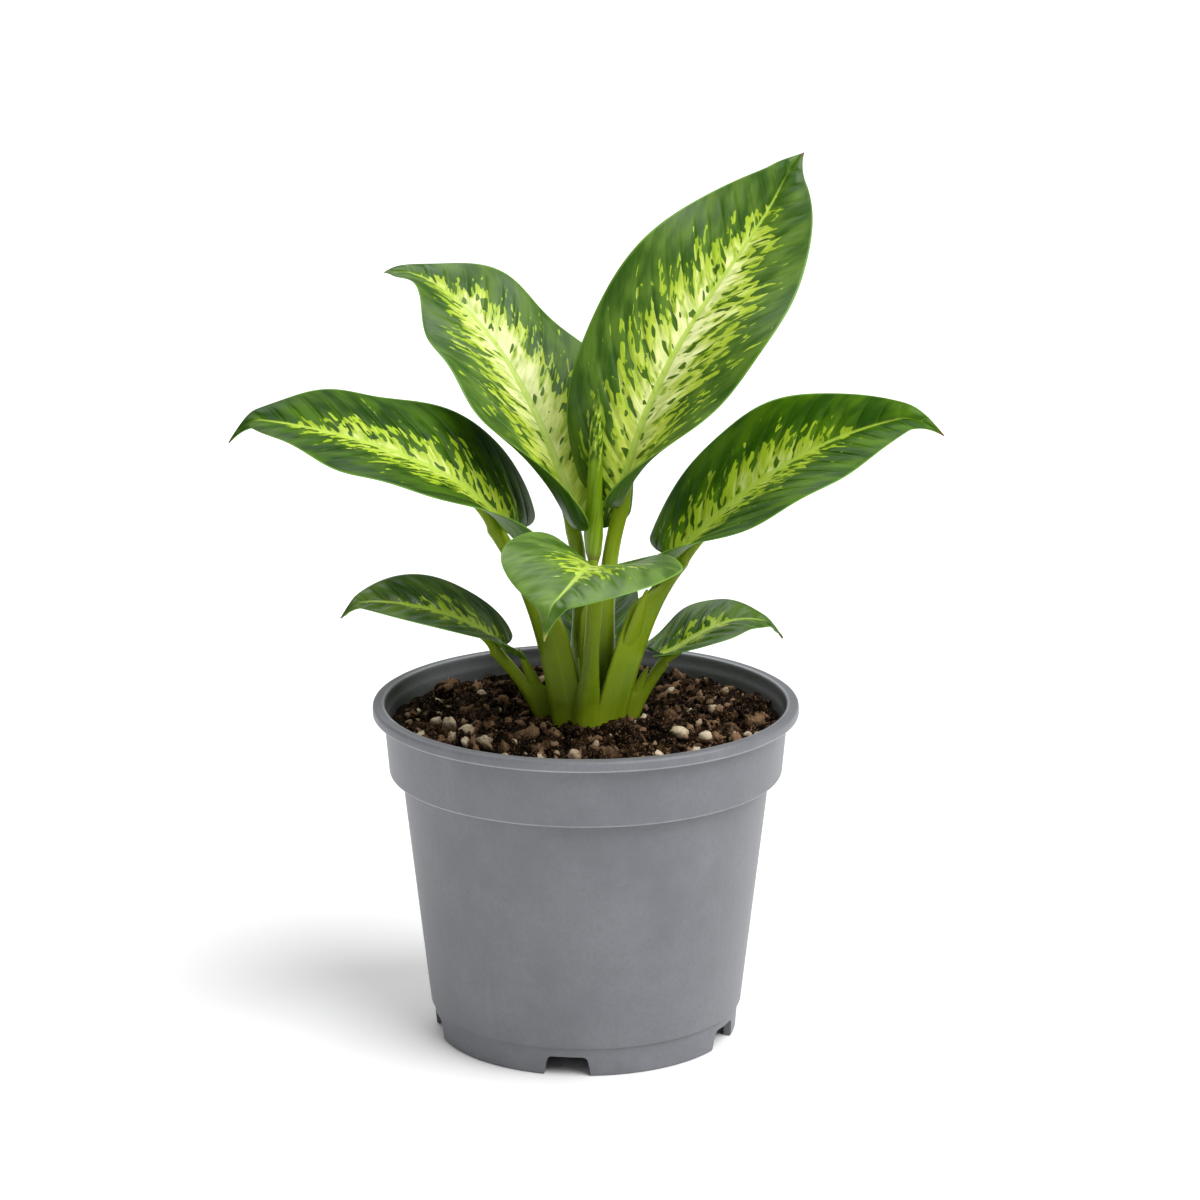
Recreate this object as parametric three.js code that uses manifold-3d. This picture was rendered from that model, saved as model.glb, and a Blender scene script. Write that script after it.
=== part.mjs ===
// A young dieffenbachia in a grey nursery pot. Millimetres, +Z up.
// The origin is on the pot's axis, level with the foot it stands on. -Y is the front, +X the right.

import * as THREE from 'three';
import Module from 'manifold-3d';
import { mergeVertices } from 'three/addons/utils/BufferGeometryUtils.js';

const wasm = await Module();
wasm.setup();

// ---- Driving dimensions --------------------------------------------------------------------------

const GAP = 0.3;

// Pot: a 12 cm thermoformed pot with a rolled lip, a deep band, a tapered body and an inset foot ring.
const POT_HEIGHT = 96.3;
const RIM_RADIUS = 60;
const RIM_BORE = 56.5;
const LIP_DEPTH = 3.1;
const BAND_TOP_RADIUS = 56.9;
const BAND_FOOT_RADIUS = 55.4;
const BAND_DEPTH = 20;
const BODY_TOP_RADIUS = 52;
const BODY_FOOT_RADIUS = 44.4;
const FOOT_RING_HEIGHT = 8.4;
const FOOT_TOP_RADIUS = 43.5;
const FOOT_RADIUS = 42.9;
const WALL = 1.5;
const FLOOR_UNDERSIDE = 6;
const FLOOR_THICKNESS = 2;
const POT_SIDES = 50;
const NOTCHES = 5;
const NOTCH_TURN = -97;
const NOTCH_HEIGHT = 5.7;
const NOTCH_TOP_WIDTH = 10.2;
const NOTCH_FOOT_WIDTH = 13.6;
const DRAIN_RADIUS = 3.5;
const DRAIN_CIRCLE = 31;

// Soil: it fills the pot to a few millimetres under the rim, heaped slightly round the stalks.
const SOIL_LEVEL = 90.5;
const SOIL_RELIEF = 1.1;
const SOIL_HEAP = 1.2;
const HEAP_RADIUS = 22;
const SOIL_SIDES = 40;
const SOIL_RINGS = 9;
const CLODS = 56;
const CLOD_SIZE = [1.6, 3];

// Leaves. A rib is the control points of a Bezier curve from the stalk to the tip; hook bends the tip.
// roll turns the blade about its rib, at the base and at the tip, in degrees. halfWidth, fold (how
// steeply each half rises from the rib, in degrees) and curl (how far each basal lobe bends over
// towards the rib, in degrees) are given left and right, as seen from above looking along the rib.
// stalk is the foot and two handles of the stalk's curve, girth its thickness beside the common one,
// and sheath the part of its height that is winged. tooth is the free tip of the sheath, for the
// stalks that show one.
const LEAVES = {
  upper_right: {
    rib: [[9, 6, 151], [16, 8, 176], [22, 16, 203], [56, 28, 225], [58, 42, 246]],
    hook: [4, 0, -1],
    roll: [41, 62],
    halfWidth: [25.5, 27.5],
    fold: [22, 41],
    curl: [-50, 90],
    lobes: 0.1,
    widest: 0.39,
    wave: 1.9,
    stalk: [[5, 6, 78], [8, 7, 100], [2, 4, 125]],
    girth: 1,
    sheath: 0.68,
  },
  upper_left: {
    rib: [[-2, 10, 143.5], [-13, 22, 175], [-22, 44, 191], [-44, 52, 215], [-59, 56, 207]],
    hook: [1, 0, 1],
    roll: [0, -3],
    halfWidth: [25, 24],
    fold: [13, 30],
    curl: [125, 20],
    lobes: 0.4,
    widest: 0.19,
    wave: -2.8,
    stalk: [[-1, 6, 78], [-2, 8, 102], [0, 10, 131]],
    girth: 1,
    sheath: 0.4,
  },
  mid_left: {
    rib: [[-23.5, 4, 146], [-33, 3, 162], [-60, 2, 172], [-86, 0, 177], [-96, 0, 177]],
    hook: [-3, 0, -7],
    roll: [-21, -24],
    halfWidth: [27.5, 23.5],
    fold: [20, 21],
    curl: [70, -5],
    lobes: 0.8,
    widest: 0.14,
    wave: -1.3,
    stalk: [[-5, -5, 78], [-6, -4, 101], [-13, 3, 127]],
    girth: 1,
    sheath: 0.62,
    tooth: [-7.5, -3, 122],
  },
  mid_right: {
    rib: [[25.5, 11, 135], [36, 10, 146], [51, 8, 163], [73, 5, 175], [99, 4, 178]],
    hook: [1, 0, -7],
    roll: [29, 46],
    halfWidth: [20.5, 27],
    fold: [29, 29],
    curl: [-25, 65],
    lobes: 0.65,
    widest: 0.32,
    wave: 0.7,
    stalk: [[3, -5, 78], [10, -4, 99], [14, 4, 120]],
    girth: 1,
    sheath: 0.78,
    tooth: [17, -2, 129],
  },
  front: {
    rib: [[3, -15, 138], [2, -30, 142], [2, -47, 151], [-5, -58, 142], [-11, -66, 139]],
    hook: [0, 0, -8],
    roll: [-13, 5],
    halfWidth: [25.5, 23],
    fold: [15, 15],
    curl: [45, 40],
    lobes: 0.6,
    widest: 0.32,
    wave: -0.2,
    stalk: [[0, -9.5, 78], [0, -10, 100], [3.5, -7, 131]],
    girth: 0.95,
    sheath: 0.3,
  },
  lower_left: {
    rib: [[-24, 0, 112], [-29, -3, 119], [-41, -6, 125], [-56, -10, 129], [-67, -12, 127]],
    hook: [-1, 0, -4],
    roll: [-17, -26],
    halfWidth: [14, 13.5],
    fold: [21, 22],
    curl: [30, 25],
    lobes: 0.9,
    widest: 0.33,
    wave: 0,
    stalk: [[-8, 1, 78], [-11, 1, 92], [-17, 1, 101]],
    girth: 0.75,
    sheath: 0.6,
    tooth: [-19, 0, 111.5],
  },
  lower_right: {
    rib: [[22, 2, 109], [27, 3, 110], [33, 6, 116], [44, 10, 121], [56, 14, 113]],
    hook: [0, 0, -3],
    roll: [3, 21],
    halfWidth: [12.5, 12.5],
    fold: [18, 18],
    curl: [5, 35],
    lobes: 0.9,
    widest: 0.34,
    wave: -0.3,
    stalk: [[9, 0, 78], [11.5, 0, 91], [16, 0, 99]],
    girth: 0.75,
    sheath: 0.6,
    tooth: [17.5, 0, 106],
  },
  back: {
    rib: [[3, 18, 106], [3, 27, 112], [2, 40, 118], [2, 55, 118], [2, 66, 113]],
    hook: [0, 1, -3],
    roll: [0, 0],
    halfWidth: [13, 13],
    fold: [18, 18],
    curl: [25, 25],
    lobes: 0.9,
    widest: 0.33,
    wave: 0.2,
    stalk: [[1, 9, 78], [1, 11, 92], [2, 13, 98]],
    girth: 0.75,
    sheath: 0.4,
  },
};

// Every half bends down by BOW degrees over its width. Near the base the lobe's curl is added to that,
// fading over CURL_LENGTH of the rib.
const BLADE_THICKNESS = 0.8;
const BLADE_ROWS = 16;
const HALF_COLUMNS = 5;
const FIRST_WIDTH = 0.4;
const TAPER = 1.15;
const FORWARD_SWEEP = 0.45;
const SWEEP_LENGTH = 0.11;
const CURL_LENGTH = 0.16;
const BOW = 18;
const WAVES = 2.5;
const RIGHT_WAVE_LAG = 1.3;
const HOOK_START = 0.88;

// Stalks: half sizes across (side) and towards the stalk's own leaf (back). On the other side the
// sheath adds its wing. Each stalk runs on under its blade as a keel, up to KEEL_REACH of the rib.
const STALK_SIDES = 8;
const STALK_STEPS = 9;
const STALK_FOOT = { side: 4.8, back: 3 };
const STALK_TOP = { side: 2.2, back: 2.2 };
const SHEATH_WING = 6.2;
const SHEATH_FADE = 0.1;
const KEEL_STEPS = 5;
const KEEL_REACH = 0.72;
const KEEL_END = 0.5;
const TOOTH_LENGTH = 0.28;
const TOOTH_WIDTH = 3;
const TOOTH_DEPTH = 1;

// The crown that the stalks grow from, mostly buried: radius and height. The first BURIED_STEPS of
// each stalk may pass through the soil. The shoot carries the rolled leaf.
const CROWN = [[0, 70], [6, 71], [9, 76], [9.5, 84], [9, 90], [6, 92], [0, 93]];
const CROWN_SIDES = 16;
const BURIED_STEPS = 7;
const SHOOT = [[2, 1, 84], [2, 3, 110], [2.1, 4.5, 134]];
const SHOOT_RADIUS = [2.2, 1.1];

// The youngest leaf, still rolled: each pair is a share of its length and the radius there.
const ROLLED_LEAF_FOOT = [2.1, 4.6, 134.6];
const ROLLED_LEAF_TIP = [3.4, 7.2, 184];
const ROLLED_LEAF_RADII = [
  [0, 1.4],
  [0.06, 2.2],
  [0.16, 2.6],
  [0.27, 2.5],
  [0.4, 2.1],
  [0.75, 1.9],
  [0.9, 1.3],
  [1, 0.3],
];
const ROLLED_LEAF_SIDES = 14;
const ROLL_STEP = 0.2;

// ---- Helpers -------------------------------------------------------------------------------------

const UP = new THREE.Vector3(0, 0, 1);
const vector = (p) => new THREE.Vector3(...p);
const radians = THREE.MathUtils.degToRad;
const { lerp, clamp, smoothstep } = THREE.MathUtils;

// A repeatable stream of random numbers from 0 to 1.
function randomStream(seed) {
  let state = seed;
  return () => {
    state = (state * 1664525 + 1013904223) % 4294967296;
    return state / 4294967296;
  };
}

function bezier(points, t) {
  let level = points.map((p) => p.clone());
  while (level.length > 1) {
    level = level.slice(1).map((p, i) => level[i].clone().lerp(p, t));
  }
  return level[0];
}

// The part of a that is square to b, at unit length.
function squareTo(a, b) {
  return a.clone().addScaledVector(b, -a.dot(b)).normalize();
}

function closedGeometry(positions, faces) {
  const geometry = new THREE.BufferGeometry();
  geometry.setAttribute('position', new THREE.Float32BufferAttribute(positions, 3));
  geometry.setIndex(faces);
  return geometry;
}

function toSolid(geometry) {
  const bare = geometry.clone();
  bare.deleteAttribute('normal');
  bare.deleteAttribute('uv');
  const merged = mergeVertices(bare, 1e-3);
  const index = merged.index.array;
  const triangles = [];
  for (let i = 0; i < index.length; i += 3) {
    const [a, b, c] = [index[i], index[i + 1], index[i + 2]];
    if (a !== b && b !== c && c !== a) {
      triangles.push(a, b, c);
    }
  }
  return new wasm.Manifold(new wasm.Mesh({
    numProp: 3,
    vertProperties: new Float32Array(merged.attributes.position.array),
    triVerts: new Uint32Array(triangles),
  }));
}

function toGeometry(solid) {
  const mesh = solid.getMesh();
  return closedGeometry(Array.from(mesh.vertProperties), Array.from(mesh.triVerts));
}

function lathed(profile, sides) {
  const geometry = new THREE.LatheGeometry(profile.map(([r, z]) => new THREE.Vector2(r, z)), sides);
  geometry.rotateX(Math.PI / 2);
  return toSolid(geometry);
}

function part(name, geometry, color, roughness) {
  const material = new THREE.MeshStandardMaterial({ color, roughness, metalness: 0 });
  const mesh = new THREE.Mesh(geometry, material);
  mesh.geometry.computeVertexNormals();
  mesh.name = name;
  return mesh;
}

// A solid skinned over rings of points, each ring in the same order, with a cap on both ends.
function skin(rings) {
  const sides = rings[0].length;
  const positions = [];
  const faces = [];
  for (const ring of rings) {
    for (const p of ring) {
      positions.push(p.x, p.y, p.z);
    }
  }
  for (let i = 0; i + 1 < rings.length; i++) {
    for (let k = 0; k < sides; k++) {
      const a = i * sides + k;
      const b = i * sides + (k + 1) % sides;
      faces.push(a, b, b + sides, a, b + sides, a + sides);
    }
  }
  const last = (rings.length - 1) * sides;
  for (let k = 1; k + 1 < sides; k++) {
    faces.push(0, k + 1, k, last, last + k, last + k + 1);
  }
  return closedGeometry(positions, faces);
}

// A tube through stations {at, along, front, side, back, rise}: at is its middle, along its direction,
// front the way its inner face looks, and side, back and rise its half sizes across, out and in.
function tube(stations, sides) {
  return skin(stations.map((s) => {
    const front = squareTo(s.front, s.along);
    const across = s.along.clone().cross(front);
    return Array.from({ length: sides }, (_, k) => {
      const angle = (2 * Math.PI * k) / sides;
      const reach = Math.sin(angle) > 0 ? s.rise : s.back;
      return s.at.clone()
        .addScaledVector(front, Math.sin(angle) * reach)
        .addScaledVector(across, -Math.cos(angle) * s.side);
    });
  }));
}

// ---- Pot -----------------------------------------------------------------------------------------

function potProfile() {
  const top = POT_HEIGHT;
  const lipFoot = top - LIP_DEPTH;
  const bandFoot = top - BAND_DEPTH;
  const floorTop = FLOOR_UNDERSIDE + FLOOR_THICKNESS;
  const outside = [
    [0, FLOOR_UNDERSIDE],
    [FOOT_RADIUS - 2, FLOOR_UNDERSIDE],
    [FOOT_RADIUS - 2.2, 0],
    [FOOT_RADIUS - 0.6, 0],
    [FOOT_RADIUS, 0.6],
    [FOOT_TOP_RADIUS, FOOT_RING_HEIGHT],
    [BODY_FOOT_RADIUS - 0.2, FOOT_RING_HEIGHT],
    [BODY_FOOT_RADIUS, FOOT_RING_HEIGHT + 0.5],
    [BODY_TOP_RADIUS, bandFoot - 0.6],
    [BODY_TOP_RADIUS + 0.6, bandFoot],
    [BAND_FOOT_RADIUS - 0.5, bandFoot],
    [BAND_FOOT_RADIUS, bandFoot + 0.5],
    [BAND_TOP_RADIUS, lipFoot],
    [RIM_RADIUS - 0.7, lipFoot],
    [RIM_RADIUS, lipFoot + 0.7],
    [RIM_RADIUS, top - 0.8],
    [RIM_RADIUS - 0.7, top],
  ];
  const inside = [
    [RIM_BORE + 0.5, top],
    [RIM_BORE, top - 0.6],
    [BAND_TOP_RADIUS - WALL, lipFoot],
    [BAND_FOOT_RADIUS - WALL, bandFoot + WALL],
    [BODY_TOP_RADIUS - WALL, bandFoot + WALL],
    [BODY_FOOT_RADIUS - WALL, floorTop + 1],
    [BODY_FOOT_RADIUS - WALL - 1, floorTop],
    [0, floorTop],
  ];
  return { outside, inside };
}

function notchCutter(turn) {
  const outline = new THREE.Shape([
    new THREE.Vector2(-NOTCH_FOOT_WIDTH / 2, -1),
    new THREE.Vector2(NOTCH_FOOT_WIDTH / 2, -1),
    new THREE.Vector2(NOTCH_FOOT_WIDTH / 2 - 0.3, 0.6),
    new THREE.Vector2(NOTCH_TOP_WIDTH / 2 + 0.4, NOTCH_HEIGHT - 0.8),
    new THREE.Vector2(NOTCH_TOP_WIDTH / 2 - 0.6, NOTCH_HEIGHT),
    new THREE.Vector2(-NOTCH_TOP_WIDTH / 2 + 0.6, NOTCH_HEIGHT),
    new THREE.Vector2(-NOTCH_TOP_WIDTH / 2 - 0.4, NOTCH_HEIGHT - 0.8),
    new THREE.Vector2(-NOTCH_FOOT_WIDTH / 2 + 0.3, 0.6),
  ]);
  const cutter = new THREE.ExtrudeGeometry(outline, { depth: 12, bevelEnabled: false });
  cutter.translate(0, 0, -BODY_FOOT_RADIUS - 3);
  cutter.rotateX(Math.PI / 2);
  cutter.rotateZ(radians(turn + 90));
  return toSolid(cutter);
}

function drainCutter(turn) {
  const cutter = new THREE.CylinderGeometry(DRAIN_RADIUS, DRAIN_RADIUS, FLOOR_THICKNESS + 2, 12);
  cutter.rotateX(Math.PI / 2);
  const angle = radians(turn);
  const height = FLOOR_UNDERSIDE + FLOOR_THICKNESS / 2;
  cutter.translate(DRAIN_CIRCLE * Math.cos(angle), DRAIN_CIRCLE * Math.sin(angle), height);
  return toSolid(cutter);
}

function pot() {
  const { outside, inside } = potProfile();
  let solid = lathed([...outside, ...inside], POT_SIDES);
  for (let i = 0; i < NOTCHES; i++) {
    const turn = NOTCH_TURN + (360 / NOTCHES) * i;
    solid = solid.subtract(notchCutter(turn)).subtract(drainCutter(turn));
  }
  return toGeometry(solid);
}

// ---- Leaf blades ---------------------------------------------------------------------------------

function ribPoint(leaf, t) {
  const hook = Math.max(0, (t - HOOK_START) / (1 - HOOK_START)) ** 2;
  return bezier(leaf.rib.map(vector), t).addScaledVector(vector(leaf.hook), hook);
}

// Along, side and face directions of the blade at t along its rib.
function ribFrame(leaf, t) {
  const step = 1e-3;
  const ahead = ribPoint(leaf, Math.min(1, t + step));
  const along = ahead.sub(ribPoint(leaf, Math.max(0, t - step))).normalize();
  const level = squareTo(UP, along);
  const roll = radians(lerp(leaf.roll[0], leaf.roll[1], t));
  const face = level.applyAxisAngle(along, roll);
  return { along, face, side: along.clone().cross(face) };
}

// The blade's share of its full half width at t, from the basal lobes to the drawn-out tip.
function breadth(leaf, t) {
  if (t < leaf.widest) {
    const back = 1 - t / leaf.widest;
    return FIRST_WIDTH + (1 - FIRST_WIDTH) * Math.sqrt(1 - back * back);
  }
  const ahead = (t - leaf.widest) / (1 - leaf.widest);
  return Math.max(0, Math.cos((Math.PI / 2) * ahead)) ** TAPER;
}

// A point of the blade's middle surface: t runs along the rib, s from -1 at the left margin to 1.
// Lines of equal t follow the side veins, which sweep back into the lobes and forward beyond them.
function bladePoint(leaf, t, s) {
  const { along, face, side } = ribFrame(leaf, t);
  const half = s < 0 ? 0 : 1;
  const out = Math.abs(s);
  const share = breadth(leaf, t);
  const width = leaf.halfWidth[half] * share;
  const sweep = FORWARD_SWEEP - (leaf.lobes + FORWARD_SWEEP) * Math.exp(-t / SWEEP_LENGTH);
  const bend = radians(leaf.curl[half] * Math.exp(-((t / CURL_LENGTH) ** 2)) - BOW) * out;
  const slope = radians(leaf.fold[half]) + bend / 2;
  const chord = width * out * (bend === 0 ? 1 : Math.sin(bend / 2) / (bend / 2));
  const ripple = leaf.wave * Math.sin(2 * Math.PI * WAVES * t + half * RIGHT_WAVE_LAG);
  const lift = chord * Math.sin(slope) + ripple * out * out * Math.min(1, 1.2 * share);
  return ribPoint(leaf, t)
    .addScaledVector(side, Math.sign(s) * chord * Math.cos(slope))
    .addScaledVector(face, lift)
    .addScaledVector(along, width * sweep * out);
}

function bladeNormal(leaf, t, s) {
  const step = 0.02;
  const ta = clamp(t, step, 1 - 2 * step);
  const alongStep = bladePoint(leaf, ta + step, s).sub(bladePoint(leaf, ta - step, s));
  const sa = clamp(s, -1 + step, 1 - step);
  const acrossStep = bladePoint(leaf, ta, sa + step).sub(bladePoint(leaf, ta, sa - step));
  return acrossStep.cross(alongStep).normalize();
}

// Both faces carry the same grid, so their triangles match, and a strip closes the margin.
function blade(leaf) {
  const columns = 2 * HALF_COLUMNS;
  const positions = [];
  for (const half of [0.5, -0.5]) {
    for (let i = 0; i <= BLADE_ROWS; i++) {
      const t = (i / BLADE_ROWS) ** 1.3;
      for (let k = 0; k <= columns; k++) {
        const s = k / HALF_COLUMNS - 1;
        const p = bladePoint(leaf, t, s).addScaledVector(bladeNormal(leaf, t, s), half * BLADE_THICKNESS);
        positions.push(p.x, p.y, p.z);
      }
    }
  }
  const under = (BLADE_ROWS + 1) * (columns + 1);
  const at = (i, k) => i * (columns + 1) + k;
  const faces = [];
  for (let i = 0; i < BLADE_ROWS; i++) {
    for (let k = 0; k < columns; k++) {
      const [a, b, c, d] = [at(i, k), at(i, k + 1), at(i + 1, k + 1), at(i + 1, k)];
      faces.push(a, b, c, a, c, d);
      faces.push(under + a, under + c, under + b, under + a, under + d, under + c);
    }
  }
  const margin = [];
  for (let k = 0; k < columns; k++) {
    margin.push(at(0, k));
  }
  for (let i = 0; i < BLADE_ROWS; i++) {
    margin.push(at(i, columns));
  }
  for (let k = columns; k > 0; k--) {
    margin.push(at(BLADE_ROWS, k));
  }
  for (let i = BLADE_ROWS; i > 0; i--) {
    margin.push(at(i, 0));
  }
  margin.forEach((a, n) => {
    const b = margin[(n + 1) % margin.length];
    faces.push(a, under + a, under + b, a, under + b, b);
  });
  return toGeometry(toSolid(closedGeometry(positions, faces)));
}

// ---- Stalks --------------------------------------------------------------------------------------

// The level direction from the leaf back over its own stalk, on which side the sheath stands.
function inward(leaf) {
  const [foot, head] = [leaf.stalk[0], leaf.rib[0]];
  return vector([foot[0] - head[0], foot[1] - head[1], 0]).normalize();
}

// Stations of a stalk and its keel. extra widens it, for the hole that the stalk stands in.
function stalkStations(leaf, extra) {
  const clear = BLADE_THICKNESS / 2 + GAP;
  const start = ribFrame(leaf, 0);
  const neck = leaf.girth * STALK_TOP.back;
  const top = ribPoint(leaf, 0).addScaledVector(start.face, -clear - neck);
  const controls = [...leaf.stalk.map(vector), top];
  const stations = [];
  for (let i = 0; i < STALK_STEPS; i++) {
    const u = i / STALK_STEPS;
    const along = bezier(controls, u + 1e-3).sub(bezier(controls, u)).normalize();
    const winged = 1 - smoothstep(u, leaf.sheath - SHEATH_FADE, leaf.sheath + SHEATH_FADE);
    const stout = 1 - smoothstep(u, 0.1, leaf.sheath + 0.25);
    const back = leaf.girth * lerp(STALK_TOP.back, STALK_FOOT.back, stout);
    const at = bezier(controls, u);
    if (i === 0) {
      at.addScaledVector(along, -extra);
    }
    stations.push({
      at,
      along,
      front: inward(leaf).lerp(start.face, u ** 3),
      side: leaf.girth * lerp(STALK_TOP.side, STALK_FOOT.side, stout) + extra,
      back: back + extra,
      rise: back + leaf.girth * SHEATH_WING * winged + extra,
    });
  }
  for (let i = 0; i <= KEEL_STEPS; i++) {
    const t = (KEEL_REACH * i) / KEEL_STEPS;
    const size = lerp(neck, KEEL_END, Math.sqrt(t / KEEL_REACH));
    const frame = ribFrame(leaf, t);
    stations.push({
      at: ribPoint(leaf, t).addScaledVector(frame.face, -clear - size),
      along: frame.along,
      front: frame.face,
      side: size,
      back: size,
      rise: size,
    });
  }
  return stations;
}

// The free tip of the sheath stands off the stalk's inner side as a flat tongue.
function sheathTooth(leaf) {
  const controls = [...leaf.stalk.map(vector), ribPoint(leaf, 0)];
  const root = bezier(controls, leaf.sheath - TOOTH_LENGTH);
  root.addScaledVector(inward(leaf), leaf.girth * SHEATH_WING * 0.6);
  const tip = vector(leaf.tooth);
  const along = tip.clone().sub(root).normalize();
  const steps = 5;
  return tube(Array.from({ length: steps + 1 }, (_, i) => {
    const narrowing = (i / steps) ** 2;
    const width = leaf.girth * lerp(TOOTH_WIDTH, 0.4, narrowing);
    return {
      at: root.clone().lerp(tip, i / steps),
      along,
      front: inward(leaf),
      side: leaf.girth * lerp(TOOTH_DEPTH, 0.4, narrowing),
      back: width,
      rise: width,
    };
  }), 8);
}

function shoot() {
  const controls = SHOOT.map(vector);
  const steps = 5;
  return toSolid(tube(Array.from({ length: steps + 1 }, (_, i) => {
    const u = i / steps;
    const size = lerp(SHOOT_RADIUS[0], SHOOT_RADIUS[1], u);
    const ahead = bezier(controls, Math.min(1, u + 1e-2));
    const along = ahead.sub(bezier(controls, Math.max(0, u - 1e-2))).normalize();
    const at = bezier(controls, u);
    return { at, along, front: new THREE.Vector3(0, 1, 0), side: size, back: size, rise: size };
  }), 8));
}

function joined(solids) {
  return solids.reduce((sum, solid) => sum.add(solid));
}

function stalks() {
  const leaves = Object.values(LEAVES);
  const stems = leaves.map((leaf) => toSolid(tube(stalkStations(leaf, 0), STALK_SIDES)));
  const teeth = leaves.filter((leaf) => leaf.tooth).map((leaf) => toSolid(sheathTooth(leaf)));
  return toGeometry(joined([lathed(CROWN, CROWN_SIDES), shoot(), ...stems, ...teeth]));
}

// What the soil leaves free: a well for the crown and the feet of the stalks, with the gap all round.
function stalkHole() {
  const shoulder = CROWN.findIndex(([r]) => r === Math.max(...CROWN.map((p) => p[0])));
  const well = CROWN.slice(0, shoulder + 1).map(([r, z]) => [r === 0 ? 0 : r + GAP, z - GAP]);
  const wellRadius = CROWN[shoulder][0] + GAP;
  const mouth = SOIL_LEVEL + 10;
  const feet = Object.values(LEAVES).map((leaf) => (
    toSolid(tube(stalkStations(leaf, GAP).slice(0, BURIED_STEPS), STALK_SIDES))
  ));
  return joined([lathed([...well, [wellRadius, mouth], [0, mouth]], CROWN_SIDES), ...feet]);
}

function rolledLeaf() {
  const foot = vector(ROLLED_LEAF_FOOT);
  const tip = vector(ROLLED_LEAF_TIP);
  const along = tip.clone().sub(foot).normalize();
  const front = squareTo(new THREE.Vector3(-0.5, -1, 0), along);
  const across = along.clone().cross(front);
  return skin(ROLLED_LEAF_RADII.map(([u, radius]) => (
    Array.from({ length: ROLLED_LEAF_SIDES }, (_, k) => {
      const angle = (2 * Math.PI * k) / ROLLED_LEAF_SIDES;
      const reach = radius * (1 + ROLL_STEP * (k / ROLLED_LEAF_SIDES - 0.5));
      return foot.clone().lerp(tip, u)
        .addScaledVector(front, Math.sin(angle) * reach)
        .addScaledVector(across, -Math.cos(angle) * reach);
    })
  )));
}

// ---- Soil ----------------------------------------------------------------------------------------

function soilTop(x, y) {
  const heap = SOIL_HEAP * Math.exp(-(x * x + y * y) / (HEAP_RADIUS * HEAP_RADIUS));
  const swell = Math.sin(0.31 * x + 1.1) * Math.cos(0.27 * y - 0.4);
  const ridges = Math.sin(0.83 * x + 0.52 * y) * Math.sin(0.71 * y - 0.38 * x + 2);
  return SOIL_LEVEL + heap + SOIL_RELIEF * (0.45 * swell + 0.55 * ridges);
}

function soilBed() {
  const bandFoot = POT_HEIGHT - BAND_DEPTH;
  const levelRadius = lerp(BAND_FOOT_RADIUS, BAND_TOP_RADIUS, 0.72) - WALL - GAP;
  const wall = [
    [BODY_FOOT_RADIUS - WALL - 1.2 - GAP, FLOOR_UNDERSIDE + FLOOR_THICKNESS + GAP],
    [BODY_FOOT_RADIUS - WALL - GAP, FLOOR_UNDERSIDE + FLOOR_THICKNESS + 1.4],
    [BODY_TOP_RADIUS - WALL - GAP, bandFoot + WALL + 2 * GAP],
    [BAND_FOOT_RADIUS - WALL - GAP, bandFoot + WALL + 2 * GAP],
  ];
  const ring = (radius, height) => Array.from({ length: SOIL_SIDES }, (_, k) => {
    const angle = (2 * Math.PI * k) / SOIL_SIDES;
    const [x, y] = [radius * Math.cos(angle), radius * Math.sin(angle)];
    return new THREE.Vector3(x, y, height ?? soilTop(x, y));
  });
  const rings = [ring(0.01, wall[0][1]), ...wall.map(([r, z]) => ring(r, z))];
  for (let i = 0; i < SOIL_RINGS; i++) {
    rings.push(ring(lerp(levelRadius, 2, i / (SOIL_RINGS - 1))));
  }
  rings.push(ring(0.01, soilTop(0, 0)));
  return toSolid(skin(rings));
}

function soilClods() {
  const random = randomStream(7);
  const clods = [];
  for (let i = 0; i < CLODS; i++) {
    const radius = 16 + 36 * Math.sqrt(random());
    const angle = 2 * Math.PI * random();
    const size = lerp(CLOD_SIZE[0], CLOD_SIZE[1], random());
    const [x, y] = [radius * Math.cos(angle), radius * Math.sin(angle)];
    const clod = new THREE.IcosahedronGeometry(size, 0);
    clod.scale(1, lerp(0.7, 1, random()), 0.8);
    clod.rotateZ(2 * Math.PI * random());
    clod.rotateX(random());
    clod.translate(x, y, soilTop(x, y) - 0.25 * size);
    if (radius + size < BAND_FOOT_RADIUS - WALL - GAP - 0.4) {
      clods.push(toSolid(clod));
    }
  }
  return clods;
}

function soil() {
  return toGeometry(joined([soilBed(), ...soilClods()]).subtract(stalkHole()));
}

// ---- The plant in its pot ------------------------------------------------------------------------

const plant = new THREE.Group();
plant.add(part('pot', pot(), 0x6c7075, 0.55));
plant.add(part('soil', soil(), 0x35241a, 0.95));
plant.add(part('stalks', stalks(), 0x7fa51f, 0.4));
plant.add(part('rolled_leaf', rolledLeaf(), 0x8fb331, 0.4));
for (const [name, leaf] of Object.entries(LEAVES)) {
  plant.add(part(`blade_${name}`, blade(leaf), 0x3f7328, 0.35));
}

export default plant;
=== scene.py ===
import math
import random

import bmesh
import bpy
import numpy as np
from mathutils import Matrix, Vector, noise


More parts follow.
